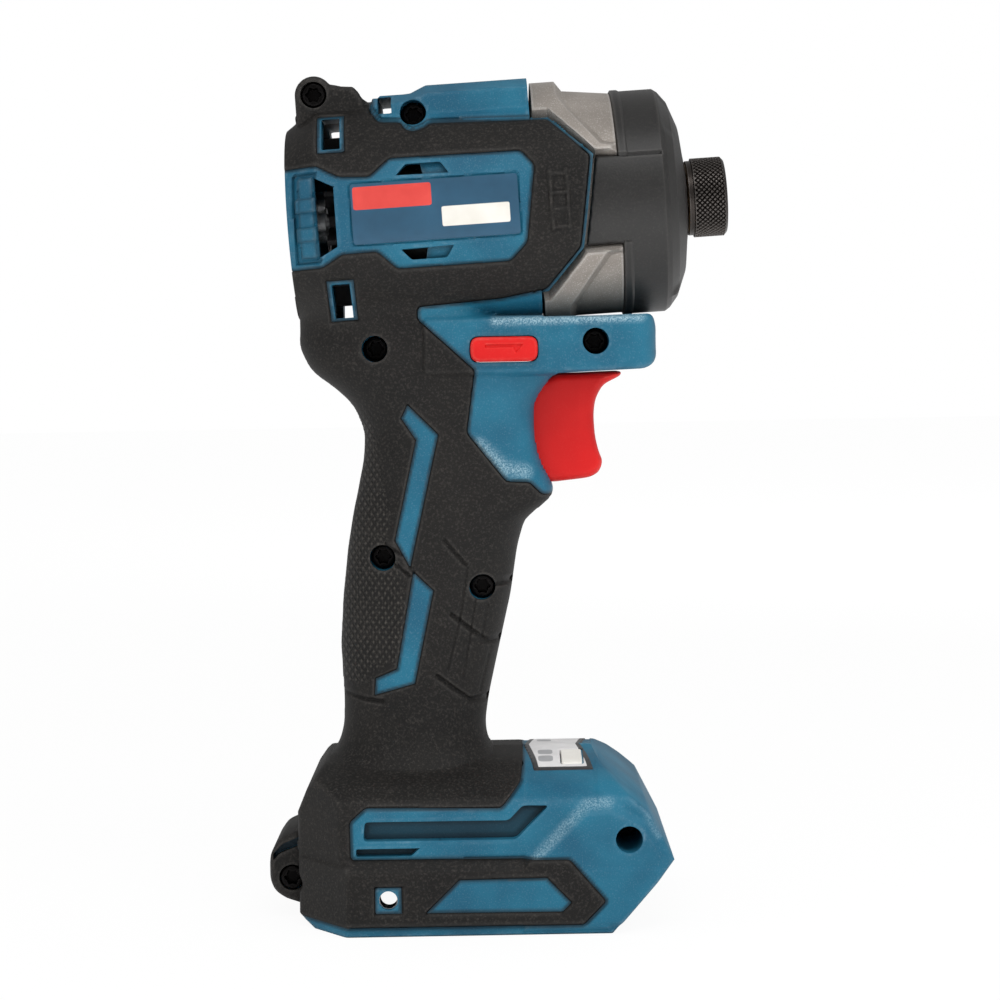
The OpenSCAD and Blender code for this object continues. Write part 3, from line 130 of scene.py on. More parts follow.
def makePiece(name, points, faces, material, body, nodes=(), slot=None, sharp=38, marks=None, cuts=()):
    # Points in millimetres and triangles as whole arrays. Wear, which also paints a pale edge highlight, is the
    # mean bend over each point's edges: the change of the normal along an edge, over the edge's length.
    points, faces = np.asarray(points, float), np.asarray(faces, np.int64)
    used, faces = np.unique(faces, return_inverse=True)
    faces = faces.reshape(-1, 3)
    points = points[used]
    mesh = bpy.data.meshes.new(name)
    mesh.vertices.add(len(points))
    mesh.vertices.foreach_set("co", (points * 0.001).astype(np.float32).ravel())
    mesh.loops.add(faces.size)
    mesh.loops.foreach_set("vertex_index", faces.astype(np.int32).ravel())
    mesh.polygons.add(len(faces))
    mesh.polygons.foreach_set("loop_start", np.arange(0, faces.size, 3, dtype=np.int32))
    mesh.polygons.foreach_set("use_smooth", np.ones(len(faces), bool))
    mesh.update(calc_edges=True)
    corner = points[faces]
    flat = np.cross(corner[:, 1] - corner[:, 0], corner[:, 2] - corner[:, 0])
    normal = np.zeros_like(points)
    for k in range(3):
        np.add.at(normal, faces[:, k], flat)
    normal /= np.linalg.norm(normal, axis=1, keepdims=True) + 1e-12
    i, j = np.concatenate([faces[:, [0, 1]], faces[:, [1, 2]], faces[:, [2, 0]]]).T
    way = points[j] - points[i]
    bend = np.einsum("ij,ij->i", normal[j] - normal[i], way) / (np.einsum("ij,ij->i", way, way) + 1e-9)
    total = np.bincount(i, bend, len(points)) / np.maximum(np.bincount(i, minlength=len(points)), 1)
    calm = np.prod([np.abs(points[:, 2] - cut) > edgeWearAndHighlight["cut"] for cut in cuts], axis=0) if cuts else 1.0
    reach = np.zeros(len(points))
    np.maximum.at(reach, i, np.linalg.norm(way, axis=1))
    calm = calm * np.where(reach > edgeWearAndHighlight["longEdge"], edgeWearAndHighlight["longShare"], 1.0)
    layers = {"wear": ramp(edgeWearAndHighlight["low"], edgeWearAndHighlight["high"], total) * calm}
    layers.update({key: np.asarray(value, float)[used] for key, value in (marks or {}).items()})
    for key, value in layers.items():
        mesh.attributes.new(key, "FLOAT", "POINT").data.foreach_set("value", value.astype(np.float32))
    mesh.set_sharp_from_angle(angle=math.radians(sharp))
    piece = bpy.data.objects.new(name, mesh)
    bpy.context.scene.collection.objects.link(piece)
    mesh.materials.append(material)
    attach(piece, body)
    if nodes:
        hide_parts(*nodes)
    print("piece", name, len(faces), "triangles")
    return piece


def fieldFaces(low, high, step, contours, keep, wrap=False):
    # A grid of two parameters. Points close to an outline slide onto it, each cell is cut along the diagonal
    # that no outline crosses, and triangles whose middle fails the keep test are left out.
    n = [max(2, int(round((high[k] - low[k]) / step))) for k in range(2)]
    rows = n[1] if wrap else n[1] + 1
    u, v = np.meshgrid(np.linspace(low[0], high[0], n[0] + 1),
                       low[1] + np.arange(rows) * (high[1] - low[1]) / n[1], indexing="ij")
    u, v = u.ravel(), v.ravel()
    fixed = np.zeros(u.shape, bool)
    e = 0.02 * step
    for contour in contours:
        f = contour(u, v)
        todo = np.flatnonzero((np.abs(f) < 1.2 * step) & ~fixed)
        if todo.size == 0:
            continue
        for turn in range(2):
            a, b = u[todo], v[todo]
            f = contour(a, b)
            gu = (contour(a + e, b) - contour(a - e, b)) / (2 * e)
            gv = (contour(a, b + e) - contour(a, b - e)) / (2 * e)
            size = gu ** 2 + gv ** 2 + 1e-9
            if turn == 0:
                near = np.abs(f) <= 0.51 * step * np.maximum(np.abs(gu), np.abs(gv))
                todo, f, gu, gv, size = todo[near], f[near], gu[near], gv[near], size[near]
            u[todo] -= f * gu / size
            v[todo] -= f * gv / size
        fixed[todo] = True
    index = np.arange(u.size).reshape(n[0] + 1, rows)
    if wrap:
        index = np.concatenate([index, index[:, :1]], 1)
    a, b, c, d = index[:-1, :-1], index[1:, :-1], index[1:, 1:], index[:-1, 1:]
    cross = np.zeros(a.shape, bool)
    for contour in contours:
        f = contour(u, v)
        f = np.where(np.abs(f) < 1e-3, 0, f)
        cross |= f[a] * f[c] < 0
    first = np.where(cross[..., None], np.stack([a, b, d], -1), np.stack([a, b, c], -1)).reshape(-1, 3)
    second = np.where(cross[..., None], np.stack([b, c, d], -1), np.stack([a, c, d], -1)).reshape(-1, 3)
    faces = np.concatenate([first, second])
    span = high[1] - low[1]
    vv = v[faces]
    if wrap:
        vv = np.where(vv - vv.max(1, keepdims=True) < -span / 2, vv + span, vv)
    ok = keep(u[faces].mean(1), vv.mean(1))
    return u, v, faces[ok]


def twoSkins(top, bottom, faces):
    # The two skins of a piece and a wall along each open edge; where they touch, they share points.
    n = len(top)
    same = np.linalg.norm(top - bottom, axis=1) < 1e-4
    under = np.where(same, np.arange(n), np.arange(n) + n)
    edge = np.concatenate([faces[:, [0, 1]], faces[:, [1, 2]], faces[:, [2, 0]]])
    key = edge.min(1) * n + edge.max(1)
    _, first, count = np.unique(key, return_index=True, return_counts=True)
    p, q = edge[first[count == 1]].T
    walls = np.concatenate([np.stack([q, p, under[p]], 1), np.stack([q, under[p], under[q]], 1)])
    every = np.concatenate([faces, under[faces[:, ::-1]], walls])
    good = (every[:, 0] != every[:, 1]) & (every[:, 1] != every[:, 2]) & (every[:, 2] != every[:, 0])
    return np.concatenate([top, bottom]), every[good]


def linearColor(code):  # a screen colour in hex, as the linear numbers a shader takes
    part = np.array([int(code[k:k + 2], 16) for k in (1, 3, 5)]) / 255
    line = np.where(part <= 0.04045, part / 12.92, ((part + 0.055) / 1.055) ** 2.4)
    return tuple(float(p) for p in line) + (1.0,)


def addNode(tree, kind, inputs=None, out=0, **settings):
    # one node: an input takes a socket's link, a hex colour or a plain value; out is the output given back
    node = tree.nodes.new("ShaderNode" + kind)
    for key, value in settings.items():
        setattr(node, key, value)
    for key, value in (inputs or {}).items():
        if isinstance(value, bpy.types.NodeSocket):
            tree.links.new(value, node.inputs[key])
        else:
            node.inputs[key].default_value = linearColor(value) if isinstance(value, str) else value
    return node.outputs[out] if node.outputs else node


def newMaterial(name):
    material = bpy.data.materials.new(name)
    material.use_nodes = True
    material.node_tree.nodes.clear()
    return material, material.node_tree


def readPiece(tree, *marks):  # the piece's Object coordinates and the marks on its points
    place = addNode(tree, "TexCoord", out="Object")
    return [place] + [addNode(tree, "Attribute", out="Fac", attribute_name=mark) for mark in marks]


def pattern(tree, place, size, detail, rough=0.5, span=None):
    # cloudy grains of a size in millimetres; a span carries one range of their values onto another
    values = {"Scale": 1000 / size, "Detail": detail, "Roughness": rough, "Vector": place}
    cloud = addNode(tree, "TexNoise", values, "Fac")
    return addNode(tree, "MapRange", dict(enumerate((cloud, *span)))) if span else cloud


def paintLayers(tree, color, layers):  # each layer covers the ones before it by its factor
    for factor, layer in layers:
        color = addNode(tree, "Mix", {0: factor, 6: color, 7: layer}, 2, data_type="RGBA")
    return color


def closeMaterial(material, color, grain, rough, bump, values):
    # the grain spreads the roughness about its mean; bump is a height, its strength and depth in millimetres
    tree = material.node_tree
    spread, mean = rough
    height, strength, depth = bump
    values = {"Base Color": color, **values}
    values["Roughness"] = addNode(tree, "Math", {0: grain, 1: spread, 2: mean - spread / 2},
                                  operation="MULTIPLY_ADD")
    values["Normal"] = addNode(tree, "Bump", {"Strength": strength, "Distance": depth * 0.001,
                                              "Height": height})
    addNode(tree, "OutputMaterial", {"Surface": addNode(tree, "BsdfPrincipled", values)})
    return material


def mouldedPlastic(name, look):
    # Spark-eroded mould grain with a faint flow in the colour; edges that hands rub go pale, partly as a painted
    # edge highlight, pale scuffs and painted highlights follow given lines, and joints, grooves and recess
    # floors darken with dirt and painted shade.
    look = {"cloud": 16, "grain": 0.35, "fine": 0.2, "worn": "#c9d6de", "wear": 0.6, "scuffed": "#c9d6de",
            "bump": 0.35, "shine": 0.5, **look}
    material, tree = newMaterial(name)
    place, wear, scuff, seam = readPiece(tree, "wear", "scuff", "seam")
    cloud = pattern(tree, place, look["cloud"], 3, span=(0.35, 0.65, 0, 1))
    grain = pattern(tree, place, look["grain"], 2)
    fine = addNode(tree, "MapRange", {0: grain, 1: 0.55, 2: 0.8, 3: 0, 4: look["fine"]})
    patch = pattern(tree, place, 3.0, 4, 0.6, (0.42, 0.66, 0.15 * look["wear"], look["wear"]))
    chalk = pattern(tree, place, 0.4, 3, 0.7, (0.42, 0.66, 0.1, 0.9))
    rubbedAndHighlit, scuffed, dirtAndShade = [addNode(tree, "Math", {0: a, 1: b}, operation="MULTIPLY")
                              for a, b in ((wear, patch), (scuff, chalk), (seam, 0.8))]
    color = paintLayers(tree, look["dark"], [(cloud, look["light"]), (fine, look["worn"]),
                                             (rubbedAndHighlit, look["worn"]), (scuffed, look["scuffed"]),
                                             (dirtAndShade, "#0b0f12")])
    return closeMaterial(material, color, grain, (0.16, look["rough"]), (grain, look["bump"], 0.06),
                         {"Specular IOR Level": look["shine"]})


def mouldedRubber(name, look):
    # Matt charcoal rubber: dull broad gloss, pale specks of dust, fine grain, diamonds where the mask asks.
    look = {"speck": 0.07, "fine": 0.5, "bump": 0.5, **look}
    material, tree = newMaterial(name)
    place, wear, mask, seam = readPiece(tree, "wear", "diamonds", "seam")
    cloud = pattern(tree, place, 11, 4, 0.6, (0.3, 0.7, 0, 1))
    grain = pattern(tree, place, 0.6, 3, 0.65)
    speck = pattern(tree, place, 0.4, 1, span=(0.66, 0.76, 0, look["speck"]))
    fine = addNode(tree, "MapRange", {0: grain, 1: 0.5, 2: 0.78, 3: 0, 4: look["fine"]})
    waves = []
    for turn in (1, -1):  # two sets of slanted ridges cross into diamonds 1.3 mm apart
        line = addNode(tree, "Mapping", {"Rotation": (0, turn * math.radians(33), 0), "Vector": place})
        waves.append(addNode(tree, "TexWave", {"Scale": 314 / 1.3, "Distortion": 0.0, "Vector": line}, "Fac",
                             bands_direction="X", wave_profile="TRI"))
    low = addNode(tree, "Math", {0: waves[0], 1: waves[1]}, operation="MINIMUM")
    # pale rubbed edges are partly a painted edge highlight; seams and grooves darken with dirt and painted shade
    rubbedAndHighlit, dirtAndShade, stud, fineHeight = [addNode(tree, "Math", {0: a, 1: b}, operation="MULTIPLY")
                                       for a, b in ((wear, 0.12), (seam, 0.7), (low, mask), (grain, 0.7))]
    tops = addNode(tree, "MapRange", {0: stud, 1: 0.45, 2: 0.85, 3: 0, 4: 0.26})  # tops of studs rub pale
    color = paintLayers(tree, look["dark"], [(cloud, look["light"]), (speck, "#8b8885"), (fine, "#4c4743"),
                                             (rubbedAndHighlit, "#77736f"), (dirtAndShade, "#060606"), (tops, "#6a655e")])
    height = addNode(tree, "Math", {0: stud, 1: 2.6, 2: fineHeight}, operation="MULTIPLY_ADD")
    return closeMaterial(material, color, grain, (0.2, look["rough"]), (height, look["bump"], 0.12),
                         {"Specular IOR Level": look["shine"]})


def bareMetal(name, look):
    # Metal with the marks of its making: cast grain with bright flecks, or fine lines round the turning axis.
    look = {"cloud": 9, "lines": (1, 1, 1), "grain": 0.4, "fleck": 0, "worn": "#d8d6d2", "wear": 0.3,
            "bump": 0.3, "metallic": 1.0, **look}
    material, tree = newMaterial(name)
    place, wear = readPiece(tree, "wear")
    cloud = pattern(tree, place, look["cloud"], 4, 0.6, (0.3, 0.7, 0, 1))
    stretched = addNode(tree, "Mapping", {"Scale": look["lines"], "Vector": place})
    grain = pattern(tree, stretched, look["grain"], 3, 0.65)
    fleck = pattern(tree, place, 0.26, 0, span=(0.62, 0.78, 0, look["fleck"]))
    # rubbed edges go pale, partly as a painted edge highlight
    rubbedAndHighlit = addNode(tree, "Math", {0: wear, 1: look["wear"]}, operation="MULTIPLY")
    color = paintLayers(tree, look["dark"], [(cloud, look["light"]), (fleck, "#e9e6e2"),
                                             (rubbedAndHighlit, look["worn"])])
    return closeMaterial(material, color, grain, (0.2, look["rough"]), (grain, look["bump"], 0.08),
                         {"Metallic": look["metallic"]})


def printedFilm(name, base, fields, rough):
    # Printed plastic film: flat ink fields with a faint mottle, each cut off where its distance passes zero.
    material, tree = newMaterial(name)
    place, *distances = readPiece(tree, *fields)
    cloud = pattern(tree, place, 6, 3, span=(0.3, 0.7, 0, 1))
    color = paintLayers(tree, base[0], [(cloud, base[1])])
    for far, (dark, light) in zip(distances, fields.values()):
        inked = addNode(tree, "MapRange", {0: far, 1: 0.05, 2: -0.05, 3: 0, 4: 1})
        color = paintLayers(tree, color, [(inked, paintLayers(tree, dark, [(cloud, light)]))])
    grain = pattern(tree, place, 0.5, 2)
    return closeMaterial(material, color, grain, (0.12, rough + 0.06), (grain, 0.15, 0.04),
                         {"Specular IOR Level": 0.45})


# what makes each finish, its material's name, dark and light colour, mean roughness, and its own settings
finishTable = {
    "blueNylon": (mouldedPlastic, "blueNylonMoulded", "#14536d", "#1b657f", 0.52,
                  {"shine": 0.25, "fine": 0.1, "worn": "#bcd0da", "wear": 0.16, "scuffed": "#a9c5cf"}),
    "redPlastic": (mouldedPlastic, "redPlasticMoulded", "#c61212", "#d31a18", 0.45,
                   {"shine": 0.2, "fine": 0.08, "worn": "#d9695f", "wear": 0.4, "bump": 0.25}),
    "blackPlastic": (mouldedPlastic, "blackPlasticMoulded", "#1b1b1d", "#2a2a2c", 0.5,
                     {"worn": "#5d5d5e", "wear": 0.4}),
    "whitePlastic": (mouldedPlastic, "whitePlasticMoulded", "#cfccc4", "#e2e0da", 0.45,
                     {"worn": "#efefec", "wear": 0.2}),
    "gripRubber": (mouldedRubber, "gripRubberMoulded", "#0e0d0c", "#171513", 0.66,
                   {"shine": 0.28, "bump": 0.7}),
    "bumperRubber": (mouldedRubber, "bumperRubberMoulded", "#141312", "#1d1c1b", 0.45,
                     {"shine": 0.5, "speck": 0.04, "fine": 0.2}),
    "castAluminium": (bareMetal, "aluminiumDieCast", "#8a837c", "#9c958e", 0.5,
                      {"metallic": 0.45, "fleck": 0.28, "grain": 0.5, "bump": 0.45, "worn": "#c9c6c2"}),
    "blackSteel": (bareMetal, "steelBlackOxide", "#332f2d", "#46413e", 0.4, {"worn": "#6e6a67", "wear": 0.5}),
    "machinedSteel": (bareMetal, "steelMachined", "#8f9194", "#aaacae", 0.3, {"lines": (6, 1, 1)}),
    "springSteel": (bareMetal, "steelSpringWire", "#6c6e71", "#85878a", 0.34, {}),
    # black phosphate screws, darkened further as painted shade for their deep holes
    "screwBlackShaded": (bareMetal, "steelBlackPhosphate", "#0f0e0e", "#191818", 0.45, {"worn": "#2c2a2a"}),
    "coreIron": (bareMetal, "ironLaminations", "#54534f", "#6a6965", 0.5, {"lines": (14, 1, 1), "bump": 0.6}),
    "magnet": (bareMetal, "magnetNickelPlated", "#77777a", "#8d8d90", 0.28, {}),
    "copper": (bareMetal, "copperEnamelled", "#8a3f1c", "#a8552a", 0.35, {"lines": (9, 1, 1), "bump": 0.7}),
    "bronze": (bareMetal, "bronzeSintered", "#8a6a37", "#a4834b", 0.45, {"fleck": 0.2}),
    "brass": (bareMetal, "brassContact", "#a8873f", "#c4a35a", 0.3, {}),
    "sinkMetal": (bareMetal, "aluminiumExtruded", "#8f9092", "#a7a8aa", 0.42, {"lines": (1, 8, 1)}),
    "boardGreen": (mouldedPlastic, "boardSolderMask", "#123f26", "#1d5a36", 0.35,
                   {"cloud": 4, "worn": "#c8a65a", "wear": 0.5}),
    "wireBlack": (mouldedPlastic, "wireSilicone", "#222224", "#353537", 0.55, {}),
    "wireRed": (mouldedPlastic, "wireSiliconeRed", "#8d1b19", "#a92a26", 0.55, {}),
    "lampLens": (mouldedPlastic, "lensFrosted", "#d8dde0", "#eef1f2", 0.2, {"bump": 0.1}),
}
finishes = {key: make(name, {"dark": dark, "light": light, "rough": rough, **more})
            for key, (make, name, dark, light, rough, more) in finishTable.items()}
labelFilm = printedFilm("labelFilmPrinted", ("#1a4660", "#20506c"),
                        {"redField": ("#c8352e", "#d4423a"), "whiteField": ("#d6d2c8", "#e2dfd8")}, 0.38)
panelFilm = printedFilm("panelFilmPrinted", ("#28292b", "#343537"),
                        {"silverField": ("#c4c3c3", "#d6d5d5"), "pills": ("#8f9092", "#9b9c9e")}, 0.35)
print("finishes:", len(finishes))

carried = {
    "castAluminium": ["hammer_case"], "bumperRubber": ["nose_bumper"], "blackSteel": ["bit_sleeve", "anvil"],
    "screwBlackShaded": ["housing_screws"],
    "machinedSteel": ["rear_bearing", "front_bearing", "thrust_washer", "motor_shaft", "spindle", "planet_pins",
                      "cam_balls", "spring_washer", "planet_gear_1", "planet_gear_2", "hammer", "bit_balls",
                      "sleeve_washer", "sleeve_clip", "ring_gear", "hook_nuts"],
    "springSteel": ["hammer_spring", "sleeve_spring", "trigger_spring"],
    "coreIron": ["stator_core", "rotor_core"], "magnet": ["rotor_magnets"], "copper": ["stator_coils"],
    "bronze": ["nose_bushing"], "brass": ["terminal_blades"], "sinkMetal": ["heat_sink"],
    "boardGreen": ["sensor_board", "control_board", "panel_board", "lamp_board"],
    "blackPlastic": ["motor_bracket", "cooling_fan", "trigger_switch", "control_tray", "terminal_block",
                     "trigger_plunger"],
    "wireBlack": ["motor_leads"], "wireRed": ["switch_leads"], "lampLens": ["lamp_lens"],
    "blueNylon": ["housing_right", "housing_left"], "gripRubber": ["grip_right", "grip_left"],
    "redPlastic": ["trigger", "direction_button"], "whitePlastic": ["rating_label", "mode_panel", "mode_key"],
}
for finish, names in carried.items():
    for name in names:
        for holder in cadNodes[name].material_slots:
            holder.material = finishes[finish]
        if not cadNodes[name].material_slots:
            cadNodes[name].data.materials.append(finishes[finish])
missing = sorted(set(cadNodes) - {n for names in carried.values() for n in names})
print("nodes without a finish:", missing)

shell = {
    "skin": 1.6, "step": 0.5, "split": 49.0, "rim": 1.1, "rimDrop": 0.75, "windowDrop": 0.85, "edge": 0.75,
    "inlayDrop": 0.35, "labelDrop": 1.35, "wellDrop": 1.9, "postDrop": 0.6, "tabRise": 0.3,
    # height, back, front, half width of the grip and how square its front is
    "grip": [(29.8, -46.5, 4.3, 23.1, 2.5), (35.2, -44.8, 2.2, 21.9, 2.5), (38.5, -43.3, -1.3, 20.2, 2.5),
             (41.0, -40.9, -3.6, 18.7, 2.5), (46.0, -39.5, -4.3, 17.2, 2.5), (53.1, -39.3, -3.2, 16.7, 2.5),
             (66.1, -39.9, -0.2, 16.6, 2.5), (78.0, -39.1, 2.6, 16.8, 2.5), (90.0, -37.7, 4.5, 17.0, 2.5),
             (97.0, -36.5, 6.6, 17.1, 3.0), (100.6, -35.8, 11.5, 17.2, 4.0), (103.0, -35.2, 14.0, 17.3, 5.0),
             (106.0, -34.6, 13.3, 17.5, 5.0), (112.1, -33.3, 10.4, 18.0, 5.0), (119.0, -32.9, 9.2, 18.4, 5.0),
             (125.5, -35.5, 9.4, 18.8, 5.0), (129.5, -39.6, 11.8, 19.2, 5.0), (134.0, -45.8, 16.0, 19.4, 5.0),
             (140.0, -48.7, 18.0, 19.5, 5.0), (144.6, -48.5, 15.0, 19.4, 5.0), (145.6, -48.5, 3.6, 19.3, 5.0),
             (149.8, -48.4, -6.2, 19.2, 5.0), (156.0, -48.5, -16.0, 18.0, 5.0)],
    "ridge": [(-28.3, 20.0), (-28.3, 24.8), (-27.6, 28.8), (-18.2, 29.3), (-14.3, 31.0), (10.2, 31.0),
              (10.2, 20.0)],
    "front": [(-60, -60), (10.2, -60), (10.2, -21.0), (11.9, -21.0), (20.8, -11.5), (24.45, 10.4),
              (14.5, 20.4), (10.2, 20.4), (10.2, 60), (-60, 60)],
    "bridge": roundCorners([(-17.5, 132.7), (14.0, 132.7), (36.0, 133.5), (38.2, 134.7), (39.2, 136.6),
                            (39.2, 143.4), (38.1, 146.75), (24.0, 146.45), (-17.5, 146.4)], 1.5),
    "foot": [(-46.0, 0), (25.3, 0), (40.3, 17.0), (34.6, 28.4), (21.8, 39.8), (-41.0, 39.8), (-43.9, 38.2),
             (-47.5, 33.4), (-50.0, 27.5), (-50.0, 2.5)],
    "cross": [(0, 33.6), (2.2, 33.6), (2.5, 35.2), (15.4, 35.2), (18.3, 32.5), (30.0, 32.5), (32.2, 31.5),
              (35.3, 26.5), (39.0, 14.1), (39.8, 0)],
    "plan": [(-50.0, 19.0), (-36.5, 35.2), (35.8, 35.2), (40.3, 32.0)],
    "nose": [(2.8, 0), (2.8, 17.1), (19.0, 30.6), (25.9, 31.0), (34.0, 26.3), (40.3, 17.0), (25.3, 0)],
    "ear": roundCorners([(-41.0, 1.8), (-49.5, 3.4), (-54.0, 4.9), (-56.6, 6.8), (-57.7, 9.6), (-57.7, 14.2),
                         (-57.3, 16.5), (-55.0, 19.8), (-48.5, 22.6), (-41.0, 22.6)], 1.3),
    "earWide": 13.0, "earEdge": 1.3,
    "boss": {"at": (-41.56, 30.5), "r": 4.6, "half": 13.0, "web": 9.2, "edge": 1.2},
    "beam": {"tip": 39.2, "noseLong": 6.4, "tipHalf": 10.2, "growth": 10.3, "edge": 1.1},
    # half width; the panel's bed from, to and how deep; the nose block's half width, rise and bevel
    "base": {"half": 35.2, "panel": (5.0, 22.2, 0.25), "block": (32.5, 2.2, 2.0), "edge": 0.8},
    "screws": {"top": (-18.9, 195.9), "grip": (-29.2, 139.3), "bridge": (24.1, 140.3), "back": (-28.4, 88.5),
               "fore": (-4.3, 80.9), "foot": (29.5, 22.6)},
    "earScrew": (-52.2, 10.2), "screwHole": 3.2, "screwBoss": 4.5, "hook": (-27.6, 9.1), "hookHole": 2.25,
    "notches": (82.0, 67.6, 53.0), "notchDepth": 0.65,  # grooves that run out at the front of the grip
    "button": [(-6.3, 135.5), (10.3, 135.5), (10.3, 141.9), (-6.3, 141.9)],
}
windowOutline = fromHead([(-59, -12), (-41.4, -12), (-36.5, -9.2), (-28.1, -9.1), (-23.7, -13.4),
                          (3.3, -13.4), (7.5, -9.3), (10.4, 8.9), (7.4, 12.6), (-23.8, 12.9), (-28.8, 8.7),
                          (-36.1, 9.2), (-41.3, 12.2), (-59, 12.2)])
labelOutline = roundCorners(fromHead([(-33.7, -7.3), (6.26, -7.3), (6.26, 7.3), (-33.7, 7.3)]), 0.8)
ventOutlines = {  # through openings
    "high": fromHead([(-22.5, 8.6), (-20.1, 11.2), (-16.2, 11.2), (-15.6, 8.5)]),
    "low": fromHead([(-22.5, -8.9), (-20.1, -11.5), (-16.2, -11.5), (-15.6, -8.8)]),
    "rearHigh": fromHead([(-39.8, 16.0), (-35.4, 16.0), (-35.4, 24.0), (-39.8, 24.0)]),
    "rearLow": fromHead([(-39.8, -24.0), (-35.4, -24.0), (-35.4, -16.0), (-39.8, -16.0)]),
    "top": fromHead([(-26.1, 24.3), (-22.8, 24.3), (-22.8, 28.7), (-26.1, 28.7)]),
    "slot": fromHead([(-42.0, 9.4), (-37.4, 7.0), (-37.4, -7.3), (-41.8, -9.6)]),
}
sunkOutlines = {  # the sunk ends of the two middle vents
    "high": fromHead([(-16.2, 11.2), (-11.8, 11.2), (-9.9, 8.4), (-15.6, 8.5)]),
    "low": fromHead([(-16.2, -11.5), (-11.7, -11.5), (-9.8, -8.7), (-15.6, -8.8)]),
}
rimOutlines = [fromHead([(-40.8, s * 15.2), (-34.4, s * 15.2), (-34.4, s * 24.6), (-40.8, s * 24.6)])
               for s in (1, -1)]
rubberEdge = np.concatenate([
    fromHead([(-59.2, 41), (-28.9, 41), (-28.4, 25.7), (-26.1, 22.2), (-20.7, 21.8), (-20.0, 20.0),
              (-17.8, 19.1), (-15.0, 20.0), (-13.8, 21.0), (14.3, 19.9), (23.8, 10.2), (20.2, -11.3),
              (11.5, -20.5), (0.4, -22.0), (-19.7, -22.7)]),
    [(-18.6, 146.3), (-5.0, 133.8), (-7.2, 118.7), (2.1, 106.8), (7.7, 106.5), (10.7, 103.4), (20.3, 102.9),
     (20.3, 41.2), (5.2, 41.2), (4.2, 35.4), (-0.6, 30.1), (-32.8, 30.6), (-36.5, 27.3), (-36.4, 18.4),
     (15.4, 18.1), (24.0, 8.1), (18.5, 2.5), (-86.0, 2.5)]])
stripeOutlines = [[(-21.5, 125.6), (-14.3, 118.3), (-21.7, 86.3), (-25.2, 92.7), (-19.6, 117.1), (-23.1, 122.4)],
                  [(-20.9, 85.0), (-16.2, 80.4), (-21.1, 57.9), (-30.9, 55.1), (-30.6, 59.1), (-25.3, 61.4)]]
inlayOutline = [(-18.6, 6.0), (-10.7, 13.7), (9.9, 13.8), (15.6, 7.9), (13.5, 5.8)]
hookSquare = [(-30.7, 6.0), (-24.5, 6.0), (-24.5, 12.2), (-30.7, 12.2)]
slotOutline = roundCorners([(-33.0, 27.4), (1.1, 27.3), (4.4, 30.7), (10.7, 30.6), (2.8, 22.7),
                            (-33.4, 22.8)], 0.9)
earGap = roundCorners([(-56.8, 14.4), (-55.2, 16.1), (-50.3, 18.0), (-50.3, 20.2), (-54.4, 18.5),
                       (-56.8, 16.0)], 0.3)
slitOutline = roundCorners([(-35.2, 21.0), (-20.1, 21.0), (-22.0, 19.1), (-35.2, 19.1)], 0.5)
windowOutline, rubberEdge = roundCorners(windowOutline, 1.0), roundCorners(rubberEdge, 0.9)
shoulder = [(-39.0, 24.0), (-39.0, 33.2), (-36.2, 32.6), (-34.8, 32.2), (-31.9, 31.9), (-30.6, 30.4),
            (-29.0, 26.5), (-29.0, 24.0)]
recesses = [(roundCorners(sunkOutlines["high"], 0.3), 2.4), (roundCorners(sunkOutlines["low"], 0.3), 2.4),
            (slotOutline, 2.7), (slitOutline, 2.9), (earGap, 2.6)]  # with their depths
tabs = [fromHead([(-46.8, h - 1.5), (-41.9, h - 1.5), (-41.9, h + 1.5), (-46.8, h + 1.5)]) for h in (2.9, -3.9)]
well = fromHead([(-47.4, -10.4), (-41.7, -10.4), (-41.7, 10.4), (-47.2, 10.4)])
post = fromHead([(-46.2, -9.2), (-42.6, -9.4), (-42.6, 9.4), (-45.9, 9.4)])
scuffAndHighlightLines = [  # pale marks along edges: scuffs on the bridge's top edge and the panel's bevel, painted highlights along the nose block's crease and the facet beside it; line, how far it reaches, how much
    ([(0.0, 145.6), (35.0, 146.0)], 2.0, 1.0), ([(-4.4, 115.6), (1.4, 110.0), (6.6, 109.0)], 3.0, 0.8),
    ([(7.3, 18.5), (19.5, 30.7), (24.9, 31.1)], 2.0, 0.55), ([(34.0, 27.5), (36.5, 23.0)], 1.5, 0.3)]
rubberLines = [  # grooves in the rubber: line, half width, depth
    ([(-13.3, 92.6), (-8.3, 86.6)], 0.6, 0.5), ([(-2.6, 81.0), (4.5, 82.0)], 0.7, 0.8),
    ([(-11.9, 74.5), (-3.3, 67.3), (2.0, 67.6)], 0.7, 0.7),
    ([(-15.6, 59.5), (-7.9, 53.3), (-1.0, 53.0)], 0.7, 0.7),
    ([(-7.8, 85.7), (-10.0, 72.5), (-13.1, 60.9)], 0.4, 0.3), ([(-6.0, 77.8), (-9.3, 58.7)], 0.4, 0.3),
    ([(-3.1, 76.3), (-4.7, 68.5)], 0.4, 0.3), ([(-2.6, 66.0), (-5.4, 55.0)], 0.4, 0.3),
    ([(-42.0, 56.4), (-38.3, 55.2), (-32.8, 53.9), (-28.9, 53.6)], 0.7, 0.7),
    ([(-27.7, 91.9), (-23.6, 89.2)], 0.5, 0.5), ([(-25.1, 86.9), (-21.8, 84.1)], 0.5, 0.5)]
combBars = [fromHead([(a, b), (c, b), (c, d), (a, d)]) for a, b, c, d in (
    (13.4, -7.0, 14.2, 7.4), (17.4, -7.0, 18.2, 7.4), (14.2, 6.0, 17.4, 6.8), (14.2, 1.4, 17.4, 2.2),
    (14.2, -2.4, 17.4, -1.6), (14.2, -6.6, 17.4, -5.8))]
gripAt, gripColumns = smoothTable(shell["grip"], 1.6)
crossAt, crossColumns = smoothTable(shell["cross"], 0.4)


